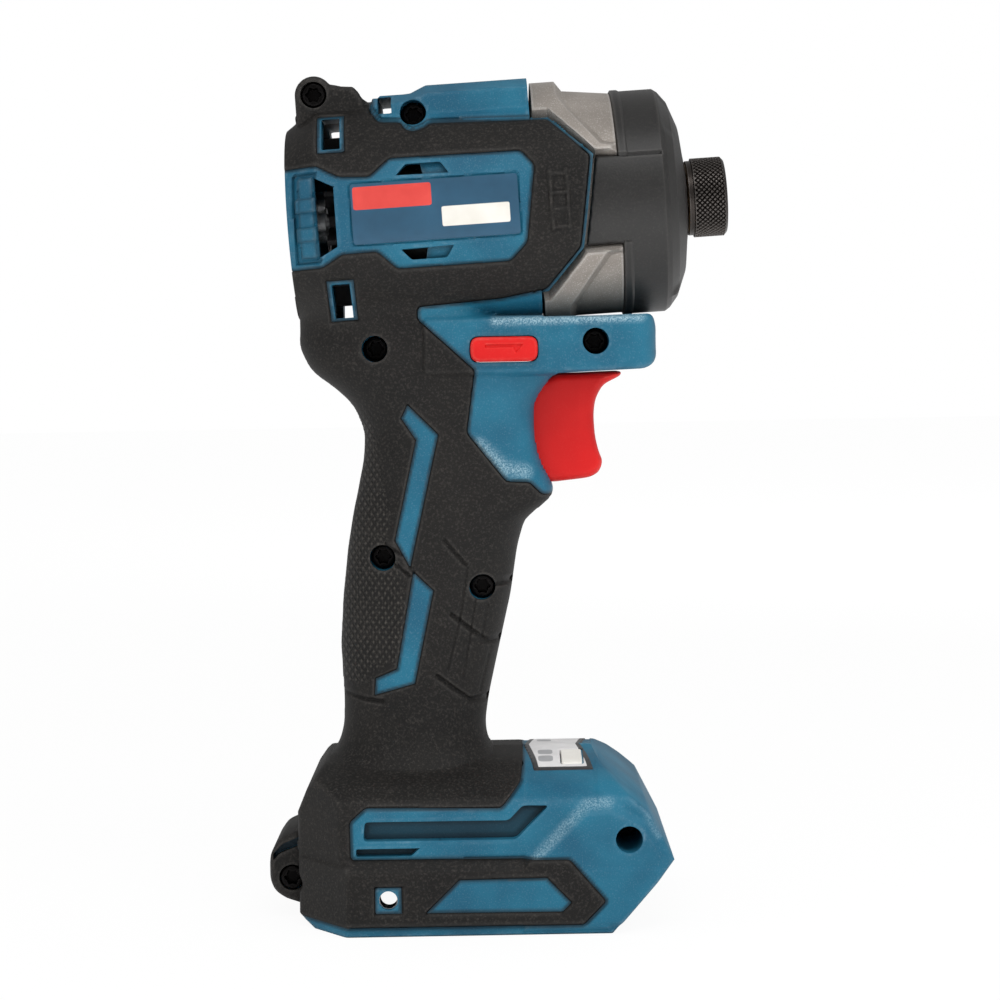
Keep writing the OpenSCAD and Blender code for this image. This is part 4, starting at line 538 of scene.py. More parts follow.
def rearChamfer(hx, skin):  # how far the barrel's rear edge has drawn in
    return head["chamferDeep"] * np.clip((skin + head["chamferFrom"] - hx) / head["chamferLong"], 0, 1)


def fallOff(d, wide):  # beyond its outline a form drops steeply, so that no edge of it shows
    return np.where(d < -0.3, 6 * d, wide)


def barrelForm(x, z, skin):  # arch under the barrel's radius, cut by its flat sides, chamfered at the rear
    hx, hz = toHead(x, z)
    r = head["radius"] - skin - rearChamfer(hx, skin)
    arch = np.where(np.abs(hz) < r, np.sqrt(np.maximum(r * r - hz * hz, 0)), -6 * (np.abs(hz) - r))
    return softMin(arch, head["flat"] - skin + 0 * hz, 0.6)


def ridgeForm(x, z, skin):  # upright block on the barrel, bevelled along its crest
    hx, hz = toHead(x, z)
    crest = np.interp(hx, *np.array(shell["ridge"][1:6]).T) - skin
    drop = crest - hz
    wide = 12.0 + 5.2 * np.clip(drop / 2.5, 0, 1) - skin
    wide = fallOff(drop, wide) - roundOff(hx + 28.3 - skin, 1.2)
    return np.where((hx > -28.4) & (hz > 12), wide, -20)


def gripForm(x, z, skin):  # at each height a squared oval between back and front
    back, front, side, square = [np.interp(z, gripAt, c) for c in gripColumns]
    notched = np.max([ramp(1.5, 0.2, np.abs(z - notch)) for notch in shell["notches"]], axis=0)
    front = front - shell["notchDepth"] * notched
    half = np.maximum((front - back) / 2 - skin, 0.5)
    c = np.abs(x - (front + back) / 2) / half
    n = np.where(x > (front + back) / 2, square, 2.5)
    wide = (side - skin) * np.maximum(1 - np.minimum(c, 1) ** n, 0) ** (1 / n)
    wide = np.where(c > 1, -6 * (c - 1) * half, wide)
    return np.where((z > gripAt[0]) & (z < gripAt[-1]), wide, -20)


def bridgeForm(x, z, skin):  # beam with a rounded nose and softened edges
    d = -edgeDistance(shell["bridge"], x, z) - skin
    beam = shell["beam"]
    t = np.clip((beam["tip"] - skin - x) / beam["noseLong"], 0, 1)
    wide = beam["tipHalf"] + beam["growth"] * np.sqrt(1 - (1 - t) ** 2) - skin - roundOff(d, beam["edge"])
    return fallOff(d, wide)


def footForm(x, z, skin):  # cross section against height, cut by the plan, with the proud nose block
    base = shell["base"]
    keepShare = 1 - skin / base["half"]
    panelFrom, panelTo, sink = base["panel"]
    sunk = sink * ((x > panelFrom) & (x < panelTo))  # the mode panel stands a little proud
    cross = np.interp(z + skin * (z > 5) + sunk, crossAt, crossColumns[0]) * keepShare
    plan = np.interp(x, *np.array(shell["plan"]).T) * keepShare
    d = -edgeDistance(shell["nose"], x, z)
    blockHalf, rise, bevel = base["block"]
    block = np.where(d > 0, blockHalf - skin + rise * np.clip(d / bevel, 0, 1), -20)
    inside = -edgeDistance(shell["foot"], x, z) - skin
    wide = softMin(np.maximum(cross, block), plan, base["edge"]) - roundOff(inside, base["edge"])
    return fallOff(inside, wide)


def earForm(x, z, skin):
    d = -edgeDistance(shell["ear"], x, z) - skin
    return fallOff(d, shell["earWide"] - skin - roundOff(d, shell["earEdge"]))


def bossDistance(x, z):  # round boss on its web at the top rear
    hx, hz = toHead(x, z)
    a, b = hx - shell["boss"]["at"][0], hz - shell["boss"]["at"][1]
    web = np.maximum(np.abs(a) - shell["boss"]["r"], np.maximum(b, -shell["boss"]["web"] - b))
    return np.minimum(np.minimum(np.hypot(a, b) - shell["boss"]["r"], web), edgeDistance(shoulder, hx, hz))


def bossForm(x, z, skin):
    d = -bossDistance(x, z) - skin
    return fallOff(d, shell["boss"]["half"] - skin - roundOff(d, shell["boss"]["edge"]))


def shellForm(x, z, skin):  # half width of the whole tool, the forms run together with fillets
    wide = softMax(barrelForm(x, z, skin), ridgeForm(x, z, skin), 0.5)
    wide = np.where(insideFront(x, z) < 2, wide, -20)
    wide = softMax(wide, gripForm(x, z, skin), 3.0)
    wide = softMax(wide, bridgeForm(x, z, skin), 0.6)
    wide = softMax(wide, footForm(x, z, skin), 2.5)
    wide = softMax(wide, np.maximum(earForm(x, z, skin), bossForm(x, z, skin)), 0.8)
    return np.maximum(wide, 0)


def insideFront(x, z):
    hx, hz = toHead(x, z)
    return edgeDistance(shell["front"], hx, hz)


gripSide = np.concatenate([np.stack([gripColumns[1], gripAt], 1)[20:-20:6],  # front upwards, back downwards
                           np.stack([gripColumns[0], gripAt], 1)[-20:20:-6]])


def outside(x, z):  # distance beyond the side outline of the whole tool, negative within it
    hx, hz = toHead(x, z)
    r = head["radius"] - rearChamfer(hx, 0)
    barrel = np.maximum(np.maximum(np.abs(hz) - r, -head["back"] - hx), insideFront(x, z))
    far = np.minimum(barrel, edgeDistance(shell["ridge"], hx, hz))
    for outline in (gripSide, shell["bridge"], shell["foot"], shell["ear"]):
        far = np.minimum(far, edgeDistance(outline, x, z))
    return np.minimum(far, bossDistance(x, z))


def rimZone(x, z):  # outside the rubber's outer edge along the ridge
    return np.where(toHead(x, z)[1] > 12, edgeDistance(rubberEdge, x, z), 9.0)


def inlays(x, z):  # negative in the stripes, the foot's inlay, the hook's square and the rear vents' frames
    outlines = stripeOutlines + rimOutlines + [inlayOutline, hookSquare]
    return np.min([edgeDistance(outline, x, z) for outline in outlines], axis=0)


def rubberZone(x, z):  # negative where rubber covers the shell
    zone = np.maximum(edgeDistance(rubberEdge, x, z), -edgeDistance(windowOutline, x, z))
    return np.maximum(zone, -inlays(x, z))


def openings(x, z, screws):  # negative inside any hole through a half
    far = edgeDistance(roundCorners(shell["button"], 2.2), x, z)
    for outline in list(ventOutlines.values()) + [outline for outline, depth in recesses]:
        far = np.minimum(far, edgeDistance(outline, x, z))
    rounds = [(*shell["hook"], shell["hookHole"])]
    if screws:
        places = [*shell["screws"].values(), shell["earScrew"], fromHead([shell["boss"]["at"]])[0]]
        rounds += [(px, pz, shell["screwHole"]) for px, pz in places]
    for px, pz, r in rounds:
        far = np.minimum(far, np.hypot(x - px, z - pz) - r)
    return far


# inside the shell: each room is its back, front, low and high limit and its half width
rooms = {"lever": (-15, 33, 135.8, 144.2, 18.3), "lamp": (31, 99, 136.6, 142.2, 4.9),
         "trigger": (-2, 99, 105.6, 132.8, 8.6)}
inner = {"wall": 3.8, "bore": 24.6, "frontBore": 25.5, "step": 10.2, "back": -46.3, "gripTop": 150,
         "slotTop": 18, "slotBack": -42, "lipTop": 3.2, "lip": 25.5, "railTop": 16, "rail": 29.5,
         "block": (-26.2, 4.2, 13.2), "earFrom": -50, "earTop": 20, "earHalf": 5.5}


def hollow(x, z):  # inner half width: bores, grip room, battery slot and the openings for the controls
    hx, hz = toHead(x, z)
    bore = np.where(hx < inner["step"], inner["bore"], inner["frontBore"])
    room = np.where(hx > inner["back"], np.sqrt(np.maximum(bore ** 2 - hz ** 2, 0)), 0)
    room = np.maximum(room, np.where(z < inner["gripTop"], gripForm(x, z, inner["wall"]), 0))
    for back, front, low, high, half in rooms.values():
        room = np.maximum(room, np.where((x > back) & (x < front) & (z > low) & (z < high), half, 0))
    room = np.maximum(room, np.where(z > inner["slotTop"], footForm(x, z, inner["wall"]), 0))
    back, front, half = inner["block"]
    slot = np.where(z < inner["railTop"], inner["rail"], np.where((x > back) & (x < front), half, 0))
    slot = np.where(z < inner["lipTop"], inner["lip"], slot)
    room = np.where(z < inner["slotTop"], np.where(x > inner["slotBack"], slot, 0), room)
    for px, pz in shell["screws"].values():
        room = np.where(np.hypot(x - px, z - pz) < shell["screwBoss"], 0, room)
    ear = np.where(z < inner["earTop"], inner["earHalf"], room)
    return np.where(x < inner["earFrom"], ear, np.maximum(room, 0))


def shellTop(x, z):  # plastic: full form where it shows, drawn in under the rubber, with its sunk places
    wide = shellForm(x, z, 0)
    zone = rubberZone(x, z)
    edge = rimZone(x, z)
    drop = shell["rimDrop"] * (1 - ramp(shell["rim"] - 0.15, shell["rim"] + 0.35, edge)) * (edge > -1e-3)
    drop = np.maximum(drop, shell["inlayDrop"] * ((inlays(x, z) < 1e-3) | ((z < 60) & (zone < 0.6))))
    drop = np.maximum(drop, shell["windowDrop"] * (edgeDistance(windowOutline, x, z) < 1e-3))
    drop = np.maximum(drop, shell["labelDrop"] * (edgeDistance(labelOutline, x, z) < 1e-3))
    drop = np.where(edgeDistance(well, x, z) < 1e-3, shell["wellDrop"], drop)
    drop = np.where(edgeDistance(post, x, z) < 1e-3, shell["postDrop"], drop)
    drop = np.where(np.min([edgeDistance(t, x, z) for t in tabs], axis=0) < 1e-3, -shell["tabRise"], drop)
    under = shellForm(x, z, shell["skin"]) - 0.03
    return np.where(zone < -1e-3, np.minimum(under, wide), wide - drop)


def combDistance(x, z):
    return np.min([edgeDistance(bar, x, z) for bar in combBars], axis=0)


def rubberTop(x, z):  # rubber: full form, its edge rounded, with grooves and raised bars
    zone = rubberZone(x, z)
    drop = np.minimum(roundOff(np.maximum(-zone, 0), shell["edge"]), shell["edge"] * 0.8)
    for line, wide, depth in rubberLines:
        drop = drop + depth * ramp(wide, 0.3 * wide, lineDistance(line, x, z))
    # the foot's base stands out at the rear
    ledge = 0.6 * ramp(17.3, 16.7, z) * ramp(-36.6, -37.4, x) * (x > -49.9)
    return np.minimum(shellForm(x, z, 0) + ledge, 35.0) - drop + 0.5 * ramp(0.25, -0.1, combDistance(x, z))


def plasticArea(x, z):
    far = outside(x, z)
    bed = np.maximum(np.maximum(7.4 - x, x - 19.2), np.abs(z - 42.5) - 5.6)  # room under the mode panel
    return np.maximum(np.maximum(far, -bed), np.minimum(-rubberZone(x, z), far + shell["skin"]))


def rubberArea(x, z):
    return np.maximum(outside(x, z), rubberZone(x, z))


def sideFaces(x, z, top, under, faces, side):  # two skins at their half widths, right for -1 and left for +1
    points, every = twoSkins(*[np.stack([x, side * wide, z], 1) for wide in (top, under)], faces)
    return points, every if side < 0 else every[:, ::-1]


def distanceTo(outline):
    return lambda x, z: edgeDistance(outline, x, z)


def fillArea(area, low, high, step, lines=()):  # triangles inside an area, and each point's distance to it
    x, z, faces = fieldFaces(low, high, step, [area, *lines], lambda x, z: area(x, z) < 0)
    return x, z, faces, area(x, z)


def joinParts(parts):  # separate points and triangles as one piece
    first = np.cumsum([0] + [len(points) for points, faces in parts[:-1]])
    return np.concatenate([p for p, f in parts]), np.concatenate([f + n for (p, f), n in zip(parts, first)])


sides = {"Right": -1, "Left": 1}
shellParts = {"Upper": (shell["split"], 208.0), "Lower": (0.0, shell["split"])}
rubberParts = {"Head": (128.0, 208.0, 0.45), "Grip": (50.0, 128.0, 0.33), "Foot": (0.0, 50.0, 0.45)}
fieldBack, fieldFront = -58.5, 40.5


def rimLine(x, z):
    return rimZone(x, z) - shell["rim"]


def shellSkins(word, side, holes):  # plastic of one half, in two pieces
    node = "housing_" + word.lower()
    lines = [distanceTo(o) for o in tabs + [post, well, windowOutline, labelOutline]]
    for part, (low, high) in shellParts.items():
        x, z, faces = fieldFaces((fieldBack, low), (fieldFront, high), shell["step"],
                                 [plasticArea, holes, rubberZone] + lines + [rimLine],
                                 lambda x, z: (plasticArea(x, z) < 0) & (holes(x, z) > 0))
        top = shellTop(x, z)
        under = np.minimum(hollow(x, z), np.maximum(top - 1.0, 0))
        points, every = sideFaces(x, z, top, under, faces, side)
        # painted shade with some dirt: dark lines along the rubber's edge, in the rim groove and round the tabs,
        # post and well
        seamDirtAndShadeParts = [ramp(0.95, 0.25, np.abs(rubberZone(x, z))), 0.8 * ramp(0.4, 0.1, np.abs(rimLine(x, z)))]
        seamDirtAndShadeParts += [0.5 * ramp(0.5, 0.05, np.abs(line(x, z))) for line in lines[:4]]  # tabs, post and well
        scuff = np.max([much * ramp(reach, 0.0, lineDistance(line, x, z)) for line, reach, much in scuffAndHighlightLines],
                       axis=0)
        marks = {"seam": np.tile(np.max(seamDirtAndShadeParts, axis=0), 2), "scuff": np.concatenate([scuff, 0 * scuff])}
        makePiece("shell" + part + word, points, every, finishes["blueNylon"], "housing", [node],
                  "shell_plastic", marks=marks, cuts=(shell["split"],))
    floors, dark = [], []
    for outline, depth in recesses:  # floors of the sunk places, a little wider than their openings
        area = lambda x, z: edgeDistance(outline, x, z) - 0.5
        x, z, faces, far = fillArea(area, outline.min(0) - 1, outline.max(0) + 1, 0.5)
        wide = shellForm(x, z, 0) - depth
        floors.append(sideFaces(x, z, wide, wide - 0.8, faces, side))
        # painted shade: each floor darkens towards its walls, and the deep floors darken all over
        shade = 0.6 * ramp(-2.2, 0.0, far) + 0.8 * (depth > 2.5) + 0.2 * (depth > 2.8)
        dark.append(np.tile(np.clip(shade, 0, 1), 2))
    makePiece("recessFloors" + word, *joinParts(floors), finishes["blueNylon"], "housing", [node],
              "shell_plastic", marks={"seam": np.concatenate(dark)})


def rubberSkins(word, side, holes):  # rubber of one half, in three pieces
    for part, (low, high, step) in rubberParts.items():
        x, z, faces = fieldFaces((fieldBack, low), (fieldFront, high), step, [rubberArea, holes],
                                 lambda x, z: (rubberArea(x, z) < 0) & (holes(x, z) > 0))
        top = rubberTop(x, z)
        under = np.minimum(shellForm(x, z, shell["skin"]), np.maximum(top - 0.3, 0))
        points, every = sideFaces(x, z, top, under, faces, side)
        # painted shade with some dirt: dark along the rubber's edge, in its grooves and round the comb bars
        seam = ramp(0.5, 0.05, np.abs(rubberZone(x, z)))
        for line, wide, depth in rubberLines:
            groove = ramp(0.8 * wide, 0.1, lineDistance(line, x, z))
            seam = np.maximum(seam, 0.8 * depth * groove * ramp(3, 10, top))
        seam = np.maximum(seam, 0.35 * ramp(0.45, 0.1, np.abs(combDistance(x, z) - 0.3)))
        stripes = np.min([lineDistance(o, x, z) for o in stripeOutlines], axis=0)
        studs = ramp(-23, -26, x + 0.18 * (z - 90)) * ramp(56.5, 58.5, z) * ramp(127, 121, z)
        studs = studs * ramp(1.0, 2.5, stripes)
        makePiece("rubber" + part + word, points, every, finishes["gripRubber"], "housing",
                  ["grip_" + word.lower()], "soft_rubber",
                  marks={"diamonds": np.tile(studs, 2), "seam": np.tile(seam, 2)},
                  cuts=rubberParts["Grip"][:2])


for word, side in sides.items():  # only the right half shows screws
    holes = lambda x, z: openings(x, z, side < 0)
    shellSkins(word, side, holes)
    rubberSkins(word, side, holes)
print("shell halves and rubber made")


def headPoints(hx, y, hz):  # points on the head's own axes, as object points
    return np.stack([hx * headCos - hz * headSin, y, head["height"] + hx * headSin + hz * headCos], -1)


def aroundTurn(cols):
    return np.linspace(0, 2 * np.pi, cols, endpoint=False)


def ringPiece(name, hx, outer, inside, material, body, nodes, slot, sharp):
    # A closed skin round the head's axis: each row is one turn, and the rows run out along the outside and
    # back inside.
    rest = profileRows(inside, 3.0)
    r = np.concatenate([outer, np.broadcast_to(rest[:, 1:], (len(rest), outer.shape[1]))])
    hx = np.broadcast_to(np.concatenate([hx, rest[:, :1]]), r.shape)
    turn = aroundTurn(r.shape[1])[None]
    points = headPoints(hx, -r * np.sin(turn), r * np.cos(turn)).reshape(-1, 3)
    a = np.arange(r.size).reshape(r.shape)
    b = np.roll(a, -1, 0)
    c, d = np.roll(b, -1, 1), np.roll(a, -1, 1)
    faces = np.concatenate([np.stack([a, b, c], -1).reshape(-1, 3), np.stack([a, c, d], -1).reshape(-1, 3)])
    corner = points[faces]
    if np.einsum("ij,ij->", corner[:, 0], np.cross(corner[:, 1], corner[:, 2])) < 0:
        faces = faces[:, ::-1]
    return makePiece(name, points, faces, material, body, nodes, slot, sharp)


def profileRows(points, step):  # a polyline cut into short pieces, for the rows of a ring
    p = np.asarray(points, float)
    out = []
    for a, b in zip(p[:-1], p[1:]):
        n = max(1, int(np.ceil(np.linalg.norm(b - a) / step)))
        out.append(a + (b - a) * np.arange(n)[:, None] / n)
    return np.concatenate(out + [p[-1:]])


case = {"cols": 480, "land": 27.0, "raise": 2.1, "bevel": 1.8, "seat": 25.1, "span": (10.35, 30.2, 0.3),
        "crownUp": 1.8, "crownLand": 1.4, "crownEnd": 31, "crownLong": 12, "crownFrom": (20, 26),
        "raised": [(5, -1), (30.6, -1), (30.6, 12.9), (27.3, 13.5), (18.8, 24.0), (18.5, 40), (5, 40)],
        "inside": [(30.25, 25.2), (38.0, 25.2), (42.0, 17.2), (42.0, 12.5), (46.0, 12.5), (46.0, 9.9),
                   (33.4, 9.9), (33.4, 22.5), (-2.3, 22.5), (-2.3, 24.5), (10.25, 24.5)]}
tongue = {"outline": [(21.5, -11.2), (25.0, 10.1), (31.5, 9.5), (31.5, -10.9)], "top": 27.47, "under": 25.3,
          "edge": 0.7, "runOn": 12}


def caseTop(hx, turn):  # land and raised facets of the casting, dropped to its seat under arms and tongues
    hz = case["land"] * np.cos(turn)
    up = np.clip(-edgeDistance(case["raised"], hx, np.abs(hz)) / case["bevel"], 0, 1)
    toFront = np.clip((case["crownEnd"] - hx) / case["crownLong"], 0, 1)
    crown = case["crownUp"] * up + case["crownLand"] * (1 - up) * toFront
    r = case["land"] + case["raise"] * up + ramp(*case["crownFrom"], hz) * crown
    arms = np.minimum(edgeDistance(shell["front"], hx, hz), edgeDistance(tongue["outline"], hx, hz))
    return case["seat"] + (r - case["seat"]) * np.clip((arms - 0.35) / 0.25, 0, 1)


span = np.arange(*case["span"])[:, None]
outer = caseTop(*np.broadcast_arrays(span, aroundTurn(case["cols"])[None]))
ringPiece("hammerCaseCast", span, outer, case["inside"], finishes["castAluminium"], "housing", ["hammer_case"],
          "cast_aluminium", sharp=25)

bumper = {"cols": 600, "r": 27.4, "band": 32.3, "drop": 0.35, "groove": 9.8, "depth": 0.6, "lug": 1.3,
          "facet": 0.5,
          "dome": [(30.3, 27.3), (30.6, 27.8), (40.8, 27.8), (42.0, 27.0), (44.0, 24.5), (46.2, 18.9),
                   (47.2, 11.7)],
          "inside": [(47.2, 11.6), (46.1, 11.7), (46.1, 12.6), (42.1, 12.6), (42.1, 17.3), (38.0, 25.3),
                     (30.3, 25.3)]}
rows = profileRows(bumper["dome"], 0.3)
turn = aroundTurn(bumper["cols"])[None]
hx, hz = np.broadcast_arrays(rows[:, :1], bumper["r"] * np.cos(turn))
band = ramp(bumper["band"] + 0.25, bumper["band"], hx) * ramp(9.9, 10.3, np.abs(hz + 0.5))
cutLine = ramp(0.45, 0.2, np.abs(hz - bumper["groove"])) * ramp(41.0, 40.2, hx) * (np.abs(np.sin(turn)) > 0.5)
lug = np.exp(-((hx - 43.4) / 1.0) ** 2 - ((np.abs(turn - np.pi) - np.radians(26)) / 0.045) ** 2)
facet = ramp(41.2, 42.2, hx) * ramp(45.2, 43.6, hx) * ramp(0.16, 0.1, np.abs(np.abs(np.sin(turn / 2)) - 0.32))
outer = rows[:, 1:] - bumper["drop"] * (1 - band)
outer = outer - bumper["depth"] * cutLine + bumper["lug"] * lug - bumper["facet"] * facet
ringPiece("noseBumperMoulded", rows[:, :1], outer, bumper["inside"], finishes["bumperRubber"], "housing",
          ["nose_bumper"], "bumper_rubber", sharp=30)
flap = roundCorners(fromHead(tongue["outline"]), 0.8)
# the tongue's front runs on into the bumper, so it isn't rounded there
longFlap = fromHead([(a + (tongue["runOn"] if a > 31 else 0), b) for a, b in tongue["outline"]])
for word, side in sides.items():
    x, z, faces = fillArea(distanceTo(flap), flap.min(0) - 0.3, flap.max(0) + 0.3, 0.4)[:3]
    hz = toHead(x, z)[1]
    inside = np.maximum(-edgeDistance(longFlap, x, z), 0)
    top = np.sqrt(tongue["top"] ** 2 - hz ** 2) - np.minimum(roundOff(inside, tongue["edge"]), 0.6)
    points, every = sideFaces(x, z, top, np.sqrt(tongue["under"] ** 2 - hz ** 2), faces, side)
    makePiece("bumperTongue" + word, points, every, finishes["bumperRubber"], "housing", ["nose_bumper"],
              "bumper_rubber", marks={"wear": np.zeros(len(points))})

sleeve = {"cols": 384, "teeth": 48, "depth": 0.34, "r": 9.75, "from": 49.5, "to": 56.7,
          "outer": [(47.8, 8.9), (48.1, 9.2), (49.2, 9.2), (49.4, 9.75), (56.7, 9.75), (57.4, 8.95)],
          "inside": [(57.4, 8.3), (50.8, 8.3), (50.8, 6.15), (47.8, 6.15)]}
rows = profileRows(sleeve["outer"], 0.13)
along = rows[:, :1]
halfTeeth = sleeve["teeth"] * aroundTurn(sleeve["cols"])[None] / 2
# two sets of slanting grooves cross, so each tooth stands as a small diamond
lean = along * np.pi / (2 * np.pi * sleeve["r"] / sleeve["teeth"])
grooves = np.minimum(np.abs(np.sin(halfTeeth + lean)), np.abs(np.sin(halfTeeth - lean)))
within = ramp(sleeve["from"], sleeve["from"] + 0.2, along) * ramp(sleeve["to"] + 0.2, sleeve["to"], along)
outer = rows[:, 1:] - sleeve["depth"] * within * (1 - np.clip(grooves * 1.6, 0, 1))
ringPiece("bitSleeveKnurled", along, outer, sleeve["inside"], finishes["blackSteel"], "sleeve", ["bit_sleeve"],
          "dark_steel", sharp=30)
print("hammer case, bumper and sleeve made")

pull = {"outline": [(4.0, 107.2), (13.1, 105.8), (22.8, 106.8), (25.1, 108.1), (26.0, 110.7), (25.0, 113.0),
                    (24.1, 116.9), (23.8, 122.2), (24.3, 126.1), (26.3, 129.6), (31.0, 131.8), (30.8, 132.95),
                    (25.5, 132.8), (20.0, 132.6), (14.8, 132.6), (12.1, 131.4), (4.0, 131.4)],
        "plan": [(4.0, 8.3), (20.5, 8.3), (23.5, 7.4), (26.0, 5.9), (31.0, 4.3)], "edge": 2.0}
planAt, planColumns = smoothTable(pull["plan"], 1.0)
x, z, faces, far = fillArea(distanceTo(roundCorners(pull["outline"], 1.6)), (3.6, 105.4), (31.4, 133.0), 0.3)
wide = np.interp(x, planAt, planColumns[0]) - roundOff(np.maximum(-far, 0), pull["edge"]) * ramp(6, 9, x)
makePiece("triggerMoulded", *sideFaces(x, z, wide, -wide, faces, -1), finishes["redPlastic"], "trigger",
          ["trigger"], "red_plastic")

thumb = {"outline": [(-6.1, 135.7), (10.1, 135.7), (10.1, 141.7), (-6.1, 141.7)], "out": 22.2, "in": 16.7,
         "edge": 0.9,
         "bar": [(-1.0, 136.7), (5.0, 136.7), (5.0, 140.7), (-1.0, 140.7)], "barHalf": 16.8, "sunk": 0.45,
         "arrow": [(-2.6, 139.1), (4.2, 139.1), (4.9, 137.7), (6.7, 139.9), (-2.6, 139.9)]}
thumbArea, arrow = distanceTo(roundCorners(thumb["outline"], 2.3)), distanceTo(thumb["arrow"])
parts = []
for side in sides.values():
    x, z, faces, far = fillArea(thumbArea, (-6.5, 135.3), (10.5, 142.1), 0.2, [arrow])
    top = thumb["out"] - roundOff(np.maximum(-far, 0), thumb["edge"])
    top = top - thumb["sunk"] * ramp(0.05, -0.15, arrow(x, z))
    parts.append(sideFaces(x, z, top, 0 * x + thumb["in"], faces, side))
x, z, faces = fillArea(distanceTo(thumb["bar"]), (-1.5, 136.2), (5.5, 141.2), 0.5)[:3]
half = 0 * x + thumb["barHalf"]
parts.append(sideFaces(x, z, half, -half, faces, -1))
makePiece("directionButtonMoulded", *joinParts(parts), finishes["redPlastic"], "direction_button",
          ["direction_button"], "red_plastic")

plate = {"edge": [(-33.5, -7.1), (6.1, -7.1), (6.1, 7.1), (-33.5, 7.1)], "top": 0.75, "under": 1.3,
         "mirror": -27.6, "red": [(-33.0, 1.0), (-14.4, 1.0), (-14.4, 6.4), (-33.0, 6.4)],
         "white": [(-12.2, -4.2), (3.9, -4.2), (3.9, 0.5), (-12.2, 0.5)]}
plateEdge, redEdge, whiteEdge = [roundCorners(fromHead(plate[key]), r)
                                 for key, r in (("edge", 0.7), ("red", 0.6), ("white", 0.4))]
for word, side in sides.items():
    x, z, faces = fillArea(distanceTo(plateEdge), plateEdge.min(0) - 0.3, plateEdge.max(0) + 0.3, 0.4)[:3]
    top, under = barrelForm(x, z, plate["top"]), barrelForm(x, z, plate["under"])
    redX = x if side < 0 else plate["mirror"] - x
    fields = {"redField": edgeDistance(redEdge, redX, z), "whiteField": edgeDistance(whiteEdge, x, z)}
    makePiece("labelPlate" + word, *sideFaces(x, z, top, under, faces, side), labelFilm, "housing",
              ["rating_label"], "label_film", marks={key: np.tile(f, 2) for key, f in fields.items()})

fastener = {"r": 2.9, "h": 2.4, "shank": 1.7, "tip": 9.0, "star": 1.55, "lobe": 0.16, "deep": 1.7,
            "edge": 0.6,
            # place on the side and the height of the head's seat
            "seats": [(-18.94, 195.94, 9.53), (-43.1, 201.1, 10.3), (-29.22, 139.3, 8.5),
                      (24.1, 140.3, 10.25), (-28.42, 88.48, 8.5), (-4.31, 80.89, 8.5),
                      (29.46, 22.61, 14.08), (-52.2, 10.19, 10.5)]}


def screwRim(x, z):
    return np.hypot(x, z) - fastener["r"]


def screwShank(x, z):
    return np.hypot(x, z) - fastener["shank"]


def screwStar(x, z):  # a circle that swells six times round
    return np.hypot(x, z) - fastener["star"] * (1 + fastener["lobe"] * np.cos(6 * np.arctan2(z, x)))


x, z, faces, far = fillArea(screwRim, (-3.1, -3.1), (3.1, 3.1), 0.22, [screwShank, screwStar])
sunk = roundOff(np.maximum(-far, 0), fastener["edge"]) + fastener["deep"] * (screwStar(x, z) < 1e-3)
parts = []
for px, pz, seat in fastener["seats"]:
    under = np.where(screwShank(x, z) < 1e-3, -fastener["tip"], seat)
    parts.append(sideFaces(x + px, z + pz, seat + fastener["h"] - sunk, under, faces, -1))
makePiece("housingScrewsStar", *joinParts(parts), finishes["screwBlackShaded"], "housing", ["housing_screws"],
          "screw_steel", sharp=30)

panel = {"edge": [(5.2, 0), (7.4, -20.5), (21.8, -20.5), (19.4, 0), (21.8, 20.5), (7.4, 20.5)], "thick": 1.15,
         "border": 1.3, "key": [(14.2, -5.7), (19.35, -5.7), (19.35, -17.5), (14.2, -17.5)], "board": 34.6,
         "keyThick": 0.6, "stem": (16.78, -11.6, 1.2), "gap": 0.25,
         "pills": [[(8.6, y - 2.2), (12.2, y - 2.2), (12.2, y + 2.2), (8.6, y + 2.2)]
                   for y in (-14.2, -8.4, 8.4, 14.2)]}
keyEdge = roundCorners(panel["key"], 0.8)


def footTop(y):  # height of the foot's top against the distance from the middle
    return np.interp(np.abs(y), crossColumns[0][::-1], crossAt[::-1])


def panelArea(x, y):  # the panel's outline less a gap round the key
    return np.maximum(edgeDistance(panel["edge"], x, y), panel["gap"] - edgeDistance(keyEdge, x, y))


def topPiece(name, x, y, top, under, faces, *rest, marks=None):
    points, every = twoSkins(np.stack([x, y, top], 1), np.stack([x, y, under], 1), faces)
    makePiece(name, points, every, *rest, marks=marks)


x, y, faces, far = fillArea(panelArea, (4.8, -21.0), (22.2, 21.0), 0.3)
pills = np.min([edgeDistance(roundCorners(p, 1.2), x, y) for p in panel["pills"]], axis=0)
fields = {"silverField": edgeDistance(panel["edge"], x, y) + panel["border"], "pills": pills}
top, under = footTop(y) - roundOff(np.maximum(-far, 0), 0.25), footTop(y) - panel["thick"]
topPiece("modePanelFilm", x, y, top, under, faces, panelFilm, "housing", ["mode_panel"], "panel_film",
         marks={key: np.tile(f, 2) for key, f in fields.items()})
x, y, faces, far = fillArea(distanceTo(keyEdge), (13.9, -17.8), (19.7, -5.4), 0.25)
stemX, stemY, stemR = panel["stem"]
under = np.where(np.hypot(x - stemX, y - stemY) < stemR, panel["board"], footTop(y) - panel["keyThick"])
topPiece("modeKeyMoulded", x, y, footTop(y) - roundOff(np.maximum(-far, 0), 0.4), under, faces,
         finishes["whitePlastic"], "mode_key", ["mode_key"], "white_plastic")
print("controls, label and screws made")

